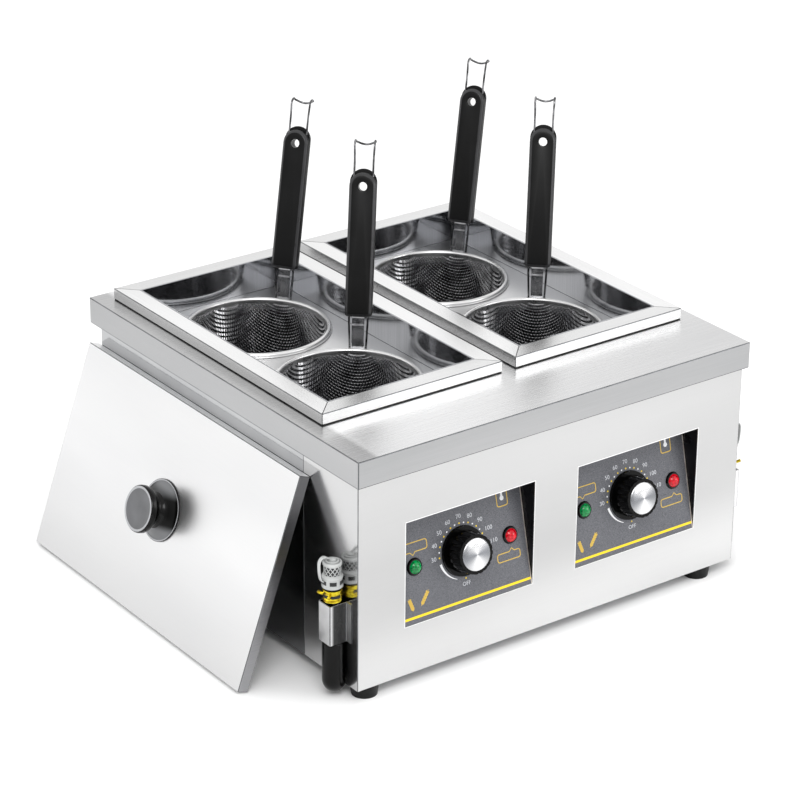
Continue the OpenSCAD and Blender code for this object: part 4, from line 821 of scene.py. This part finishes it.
def grainEar(low, high):
    # a slanted ear of grain: a stem with pairs of small oval kernels
    low, high = np.array(low, float), np.array(high, float)
    way = (high - low) / np.linalg.norm(high - low)
    side = np.array([-way[1], way[0]])
    parts = [inkStroke([low, (low + high) / 2, high], 0.6)]
    a = np.linspace(0, 2 * np.pi, 10, endpoint=False)
    for share in 0.18 + 0.164 * np.arange(5):
        for s in (-1, 1):
            middle = low + (high - low) * share + side * s * 1.05
            lean = way * 0.92 + side * s * 0.38
            parts.append(inkPlate(middle + np.outer(1.75 * np.cos(a), lean)
                                  + np.outer(0.85 * np.sin(a), [-lean[1], lean[0]])))
    return parts


def printPanel(side, name):
    # the dots, bars, numbers, lines and outlines of one panel, each ink as one piece
    tens = 180 - 22.5 * np.arange(9)
    further = (0, 0, 0, 0, 0, 0, 0.4, 1.8, 3.4)  # the wide numbers stand a little further out
    white = [discAt(around(panel["dotRing"], a), panel["dot"]) for a in tens[:-1] - 11.25]
    white.append(inkStroke(around(28.0, np.linspace(193.6, 248.5, 20)), np.linspace(2.7, 0.5, 20)))
    bulb, tube = (53.25, 94.0), (53.25, 108.0)
    white.append(inkPlate(np.vstack([around(2.4, np.linspace(120, 420, 22), bulb),
                                     around(1.2, np.linspace(0, 180, 8), tube)])))
    grey = [inkText(str(30 + 10 * k), panel["numberSize"], around(panel["numberRing"] + further[k], a))
            for k, a in enumerate(tens)]
    grey.append(inkText("OFF", panel["offSize"], (0, panel["offUp"])))
    u0, u1, v0, v1 = panel["stripe"]
    yellow = [discAt(around(panel["dotRing"], a), panel["dot"]) for a in [*tens, 270]]
    yellow.append(inkPlate([(u0, v0), (u1, v0), (u1, v1), (u0, v1)]))
    hook = [[[46.9, 113.6]], around(2.4, np.linspace(180, 270, 6), (49.3, 88.4)),
            around(2.4, np.linspace(270, 360, 6), (57.2, 88.4)), [[59.6, 113.6]]]
    gold = [speechBox((-67.2, 69.8), (-40.0, 79.2), (-57.5, 66.6)),
            speechBox((39.7, 31.0), (67.2, 39.2), (57.5, 42.2)), inkStroke(np.vstack(hook), 1.0)]
    gold += grainEar((-55.4, 15.5), (-45.0, 28.9)) + grainEar((-64.9, 12.8), (-68.6, 25.8))
    for ink, parts in (("white", white), ("grey", grey), ("yellow", yellow), ("gold", gold)):
        points, faces = joined(parts)
        placeMesh(f"{name}{ink.capitalize()}Print", onPanel(points, side), faces, f"{ink}Ink", "cabinet",
                  "printed_panel", smooth=False)


def windowTrim(side, name):
    # a painted highlight: a bright strip round each window's edge, and the pocket's crease along the panel's
    # right side, a painted highlight too
    w, high, width = panel["windowW"] / 2, panel["windowH"], 0.8
    inner = np.array([(-w, 0), (w, 0), (w, high), (-w, high)])
    outer = inner + width * np.array([(-1, -1), (1, -1), (1, 1), (-1, 1)])
    points = np.vstack([np.column_stack([edge[:, 0], np.full(4, -proud), edge[:, 1]])
                        for edge, proud in ((outer, 0.0), (outer, 0.05), (inner, 0.05), (inner, 0.0))])
    points += [middleX / mm + side * panel["x"], panel["y"], panel["z"]]
    placeMesh(f"{name}WindowEdge", points * mm, gridFaces(4, 4, True), "windowEdge", "cabinet",
              "brushed_steel_sheet", smooth=False)
    long = high / math.cos(math.radians(panel["tilt"])) - 1
    # the crease strip is a painted highlight
    points, faces = inkPlate([(w - 1.4, 0.5), (w - 0.6, 0.5), (w - 0.6, long), (w - 1.4, long)], (0.02, 0.5))
    placeMesh(f"{name}PocketCrease", onPanel(points, side), faces, "creaseEdge", "cabinet",
              "brushed_steel_sheet", smooth=False)


for side, name in ((-1, "left"), (1, "right")):
    printPanel(side, name)
    windowTrim(side, name)
print("panels printed")


# Knobs: spun metal caps and the white index line

cap = {"profile": [(16.4, 21.02), (16.4, 22.4), (16.1, 23.0), (15.5, 23.5), (14.6, 23.8), (10.4, 24.3),
                   (5.0, 24.52), (0.05, 24.6)],
       "sides": 96, "mark": (1.7, 14.2, 19.4), "markUp": (18.0, 21.2)}


def spunCap(side, name):
    # The cap is turned: each profile point (radius, height) runs once round the shaft, the panel's n axis
    # through the dial. Its UV map holds the angle and the radius, so that the rings follow the turning.
    points = turnedRings(cap["profile"], cap["sides"])
    piece = placeMesh(f"{name}KnobCapSpun", onPanel(points + [0, panel["dial"], 0], side),
                      tubeFaces(len(cap["profile"]), cap["sides"]), "spun", f"{name}_thermostat_knob",
                      "spun_aluminium", [f"{name}_knob_cap"])
    number = np.zeros(len(piece.data.loops), np.int32)
    piece.data.loops.foreach_get("vertex_index", number)
    x, y = points[number, 0], points[number, 1]
    share = np.arctan2(y, x) / (2 * np.pi)
    quads = share[:-2 * cap["sides"]].reshape(-1, 4)  # all but the two faces that close the ends
    seam = np.ptp(quads, axis=1)[:, None] > 0.5
    quads += seam & (quads < 0)  # a face across the seam runs on past the half turn
    place = np.column_stack([share, np.hypot(x, y) / cap["profile"][0][0]])
    piece.data.uv_layers.new(name="spin").data.foreach_set("uv", place.astype(np.float32).ravel())


def indexMark(side, name):
    # a narrow white bar down the knob's flank, towards the dial's OFF
    wide, near, far = cap["mark"]
    outline = [(-wide / 2, -far), (wide / 2, -far), (wide / 2, -near), (-wide / 2, -near)]
    points, faces = inkPlate(np.array(outline) + [0, panel["dial"]], cap["markUp"])
    placeMesh(f"{name}KnobMark", onPanel(points, side), faces, "whiteInk", f"{name}_thermostat_knob",
              "printed_panel", smooth=False)


for side, name in ((-1, "left"), (1, "right")):
    spunCap(side, name)
    indexMark(side, name)
print("knobs capped")


# Drain hoses with their ends

hose = {"x": 246.99, "y": -207.1, "topZ": 119.0, "sleeveZ": 60.6, "elbowZ": 20.5, "bend": 6.0,
        "elbow": 10.3, "hose": 8.2, "turn": 32.0, "climb": 20.0, "climbL": 26.0, "bigBend": 14.0,
        "runTurn": 36.0, "runL": 60.0, "riseTop": 67.6, "inner": 1.5, "sides": 40}  # x and y: the right one


def hoseShape():
    # One hose in its own upright frame, x the way it leaves, walked in rings from the open end: down, a
    # swelling into the elbow, its tight turn and a climb, a bend to the level, a level turn and run, the rise
    # to the tank. A stand holds the place, the way ahead, and the ring's two directions out and over. A bend
    # turns the way towards plus or minus one of these two: at angle a its place has moved by the bend's
    # radius times sin(a) ahead and 1 - cos(a) aside.
    h = hose
    angle = np.arange(h["sides"]) * 2 * np.pi / h["sides"]
    rings = []

    def ring(stand, radius, room=np.inf):
        # room is the distance to the elbow's axis, which the ring's points don't cross
        reach = np.maximum(radius * np.cos(angle), -room)
        rings.append(stand[0] + np.outer(reach, stand[2]) + np.outer(radius * np.sin(angle), stand[3]))

    def straight(stand, ends):
        for length, radius in ends:
            ring(stand + np.outer([1, 0, 0, 0], stand[1] * length), radius)
        return stand + np.outer([1, 0, 0, 0], stand[1] * length)

    def bend(stand, axis, sign, size, angles, radius=h["hose"], room=np.inf):
        way, aside = stand[1], sign * stand[axis]
        for a in np.radians(angles):
            made = stand.copy()
            made[0] += size * (math.sin(a) * way + (1 - math.cos(a)) * aside)
            made[1] = math.cos(a) * way + math.sin(a) * aside
            made[axis] = sign * (math.cos(a) * aside - math.sin(a) * way)
            ring(made, radius, room)
        return made

    sleeve, elbow, big = h["topZ"] - h["sleeveZ"], h["topZ"] - h["elbowZ"], h["bigBend"]
    stand = np.array([[0, 0, h["topZ"]], [0, 0, -1], [-1, 0, 0], [0, 1, 0]])
    straight(stand, [(0, h["hose"] - 0.5), (0.5, h["hose"]), (sleeve - 0.5, h["hose"]),
                     (sleeve + 0.2, h["hose"] + 0.1), (sleeve + 0.5, h["elbow"] - 0.9),
                     (sleeve + 1.4, h["elbow"]), (elbow - 4, h["elbow"])])
    stand[0, 2] = h["elbowZ"]
    stand = bend(stand, 2, -1, h["bend"], np.linspace(0, 90 + h["climb"], 16), h["elbow"],
                 h["bend"] - h["inner"])
    stand = straight(stand, [(0.6, h["hose"] + 0.1), (0.9, h["hose"]), (h["climbL"], h["hose"])])
    stand = bend(stand, 2, 1, big, [h["climb"] - 13, h["climb"] - 6, h["climb"]])
    stand = bend(stand, 3, -1, big, np.linspace(0, h["runTurn"], 6)[1:])
    stand = straight(stand, [(h["runL"], h["hose"])])
    stand = bend(stand, 2, -1, big, np.linspace(0, 90, 8)[1:])
    straight(stand, [(h["riseTop"] - stand[0, 2], h["hose"])])
    return np.vstack(rings), tubeFaces(len(rings), h["sides"])


def besideCabinet(points, faces, side):
    # from a frame on the right hose's axis, x away from the cabinet, to the shared one; mirrored for the left
    made = (points + [hose["x"], hose["y"], 0]) * [side, 1, 1] + [middleX / mm, 0, 0]
    return made * mm, faces if side > 0 else [f[::-1] for f in faces]


hoseEnd = {"low": 119.1, "capLow": 142.25, "capR": 9.4, "collarR": 10.3, "clampZ": 104.6,
           "clampH": 12.0, "clampR": 9.3, "sides": 64}


def turned(profile):
    # a profile of radius and height run once round the hose's axis, its ends closed by discs
    return turnedRings(profile, hoseEnd["sides"]), tubeFaces(len(profile), hoseEnd["sides"])


def curvedPlate(radius, start, end, low, high, thick=0.25, lean=0.0):
    # A plate on a cylinder between two angles and two heights, in steps of one ring of four points each.
    # It grows round the axis, or upwards if it leans; lean shifts its top end round the axis, in degrees.
    steps = 6
    t = np.linspace(0, 1, steps + 1)[:, None]
    r, far = radius + thick * np.array([0, 1, 1, 0]), np.array([0, 0, 1, 1])
    if lean:
        a, z = start + (end - start) * far + lean * t, low + (high - low) * t
    else:
        a, z = start + (end - start) * t, high + (low - high) * far
    points = np.broadcast_arrays(r * np.cos(np.radians(a)), r * np.sin(np.radians(a)), z)
    return np.stack(points, -1).reshape(-1, 3), tubeFaces(steps + 1, 4)


def hoseEndParts():
    # white body: collar between two flanges, and the valve's core; lattice of slanting bars round the core.
    # The dark plates on the collar and the dark shell behind the bars are painted shade in the openings
    z, c = hoseEnd["low"], hoseEnd["collarR"]
    body = turned([(3.4, z), (c - 0.4, z), (c, z + 0.4), (c, z + 1.8), (c - 0.5, z + 2.2), (c - 0.5, z + 9.8),
                   (c, z + 10.2), (c, z + 11.4), (c - 0.5, z + 11.9), (8.8, z + 12.3), (8.4, z + 13),
                   (7.2, z + 13.1), (7.2, z + 22.3), (8.6, z + 22.4), (8.6, z + 22.9), (3.4, z + 22.9)])
    bars = [curvedPlate(7.9, start, start + 5.5, z + 12.9, z + 22.5, 0.5, lean)
            for start in range(0, 360, 30) for lean in (50, -50)]
    dark = [curvedPlate(9.8, middle - 19, middle + 19, z + 4, z + 8) for middle in range(0, 360, 60)]
    core = turned([(7.3, z + 13.2), (7.95, z + 13.2), (7.95, z + 22.2), (7.3, z + 22.2)])
    return joined([body] + bars), joined(dark + [core])


def capParts():
    # the cap with its steps and boss, and the ribbon that runs over and down to the collar
    z, r = hoseEnd["capLow"], hoseEnd["capR"]
    top = turned([(3.0, z), (r - 0.3, z), (r, z + 0.3), (r, z + 2.2), (r - 0.6, z + 2.9), (r - 1.4, z + 3.2),
                  (r - 1.6, z + 1.2), (r - 2.8, z + 1.2), (r - 3.0, z + 3.8), (r - 4.2, z + 4.2),
                  (r - 4.4, z + 2.2), (r - 5.6, z + 2.2), (r - 5.8, z + 4.8), (r - 6.6, z + 5.0),
                  (0.1, z + 5.0)])
    line = smoothLine([(1.5, 0, z + 4.6), (5, 0, z + 7.5), (8.6, 0, z + 9.6), (12.2, 0, z + 9.2),
                       (14.9, 0, z + 5.6), (15.2, 0, z - 1), (14.6, 0, z - 8), (13.2, 0, z - 13.5),
                       (11.1, 0, z - 15.4)], 5)
    out = np.cross(unit(np.gradient(line, axis=0)), [0, 1, 0])
    half = [(-0.3, 2.0), (0.3, 2.0), (0.6, 1.6), (0.6, -1.6), (0.3, -2.0), (-0.3, -2.0), (-0.6, -1.6),
            (-0.6, 1.6)]
    points = np.stack([line + out * a + [0, b, 0] for a, b in half], 1).reshape(-1, 3)
    return joined([top, (points, tubeFaces(len(line), len(half)))])


def clampParts():
    # the spring band with two raised edges, and its two ears; the slots lie on the band
    z, h, r = hoseEnd["clampZ"], hoseEnd["clampH"], hoseEnd["clampR"]
    band = turned([(8.3, z), (r - 0.1, z), (r, z + 0.2), (r, z + 1.4), (r - 0.3, z + 1.9),
                   (r - 0.3, z + h - 1.9), (r, z + h - 1.4), (r, z + h - 0.2), (r - 0.1, z + h),
                   (8.3, z + h)])
    line = np.array([(8.8, 0, 0), (10.5, 0, 0.3), (12.6, 0, 1.2), (14.0, 0, 2.2)]) + [0, 0, z + h / 2]
    ears = [tubeAlong(line @ turnZ(a).T, [1.5, 1.5, 1.6, 1.5], 12, turnZ(a)[:, 1]) for a in (-40, 40)]
    slots = [curvedPlate(r - 0.35, start, start + 62, z + 4.2, z + 7.6, 0.1) for start in (-110, -28, 55)]
    return joined([band] + ears), joined(slots)


endMoulded, endWindows = hoseEndParts()
clampBand, clampSlots = clampParts()
for side, name in ((-1, "left"), (1, "right")):
    for kind, part, finish, body, slot, *replaced in (
            ("EndMoulded", endMoulded, "whitePlastic", "cabinet", "white_plastic", "hose_ends"),
            ("EndWindows", endWindows, "darkWindow", "cabinet", "white_plastic"),
            ("ClampBand", clampBand, "zinc", "cabinet", "yellow_zinc", "hose_clamps"),
            ("ClampSlots", clampSlots, "slotBlack", "cabinet", "yellow_zinc"),
            ("CapMoulded", capParts(), "whitePlastic", f"{name}_cap", "white_plastic", f"{name}_drain_cap")):
        placeMesh(name + kind, *besideCabinet(*part, side), finish, body, slot, replaced, sharp=35)
print("hose ends moulded")

hosePoints, hoseFaces = hoseShape()
hosePoints = hosePoints @ turnZ(180 - hose["turn"]).T
points, faces = joined([besideCabinet(hosePoints, hoseFaces, side) for side in (-1, 1)])
placeMesh("drainHosesOfRubber", points, faces, "hoseRubber", "cabinet", "black_rubber", ["drain_hoses"],
          sharp=40)
print("hoses shaped")


# Floor, light and camera

view = {"place": (-1673.5, -2253.8, 1456.9), "right": (0.80800, -0.58913, 0.00770),
        "down": (-0.24028, -0.34141, -0.90868), "ahead": (0.53796, 0.73237, -0.41742), "lens": 135.49,
        "floor": 20.0}  # place in mm, lens in mm on a 36 mm sensor, half the floor's side in m
softLights = [((-0.68, 0.73, 0.06), 0.72, 0.55),  # way, cosine at its edge, gain
              ((0.54, 0.73, 0.42), 0.86, 0.35)]
lamps = {"keyLight": ((-1.2, -1.6, 2.2), (0, 0, 0.15), (1.4, 1.0), 28),  # place, aim, size, power
         "frontLight": ((1.6, -2.2, 1.0), (0, 0, 0.12), (1.2, 1.2), 16)}


def addCamera():
    # the fitted pinhole: columns are right, up and back
    camera = linked("camera", bpy.data.cameras.new("camera"))
    turn = np.array([view["right"], -np.array(view["down"]), -np.array(view["ahead"])]).T
    camera.matrix_world = Matrix.Translation(Vector(view["place"]) * mm + Vector((middleX, 0, 0))) \
        @ Matrix(turn.tolist()).to_4x4()
    camera.data.lens = view["lens"]
    camera.data.sensor_width = 36
    camera.data.clip_end = 50
    bpy.context.scene.camera = camera


def addLamp(name, place, aim, size, power):
    # a soft box that shines from its place towards its aim
    lamp = linked(name, bpy.data.lights.new(name, "AREA"))
    lamp.data.shape = "RECTANGLE"
    lamp.data.size, lamp.data.size_y = size
    lamp.data.energy = power
    lamp.location = place
    lamp.rotation_euler = (Vector(aim) - Vector(place)).to_track_quat("-Z", "Y").to_euler()


def addFloor():
    # a wide pale sheet, so that the object stands on plain white
    material, tree, principled = newMaterial("paleFloor", {"Roughness": 0.9, "Specular IOR Level": 0.1})
    dress(tree, principled, stretchedNoise(tree, [2] * 3, 1.0), ("#f7f7f7", "#f9f9f9"))
    mesh = bpy.data.meshes.new("floor")
    mesh.from_pydata([(x * view["floor"], y * view["floor"], 0)
                      for x, y in ((-1, -1), (1, -1), (1, 1), (-1, 1))], [], [(0, 1, 2, 3)])
    mesh.materials.append(material)
    linked("floor", mesh)


def addWorld():
    # A light tent, a little darker round the horizon, with two wide soft lights: behind on the left for the
    # lid and behind on the right for the worktop. Each is a smooth step of the cosine to its direction.
    world = bpy.data.worlds.new("tent")
    tree = emptyTree(world)
    place = addNode(tree, "ShaderNodeTexCoord").outputs["Generated"]
    parts = addNode(tree, "ShaderNodeSeparateXYZ", links={0: place})
    limits = {"From Min": 0.0, "From Max": 0.6, "To Min": 0.62, "To Max": 1.15}
    total = addNode(tree, "ShaderNodeMapRange", limits, {"Value": parts.outputs["Z"]}).outputs["Result"]
    for way, start, gain in softLights:
        towards = addNode(tree, "ShaderNodeVectorMath", {"operation": "DOT_PRODUCT", 1: way}, {0: place})
        limits = {"From Min": start, "From Max": 1.0, "To Min": 0.0, "To Max": gain}
        light = addNode(tree, "ShaderNodeMapRange", {"interpolation_type": "SMOOTHSTEP", **limits},
                        {"Value": towards.outputs["Value"]}).outputs["Result"]
        total = addNode(tree, "ShaderNodeMath", {"operation": "ADD"}, {0: total, 1: light}).outputs[0]
    tent = addNode(tree, "ShaderNodeBackground", {"Color": (1, 1, 1, 1)}, {"Strength": total})
    addNode(tree, "ShaderNodeOutputWorld", links={"Surface": tent.outputs[0]})
    bpy.context.scene.world = world


addCamera()
addFloor()
addWorld()
for name, lamp in lamps.items():
    addLamp(name, *lamp)
bpy.context.scene.view_settings.view_transform = "Standard"
print("floor, light and camera placed")
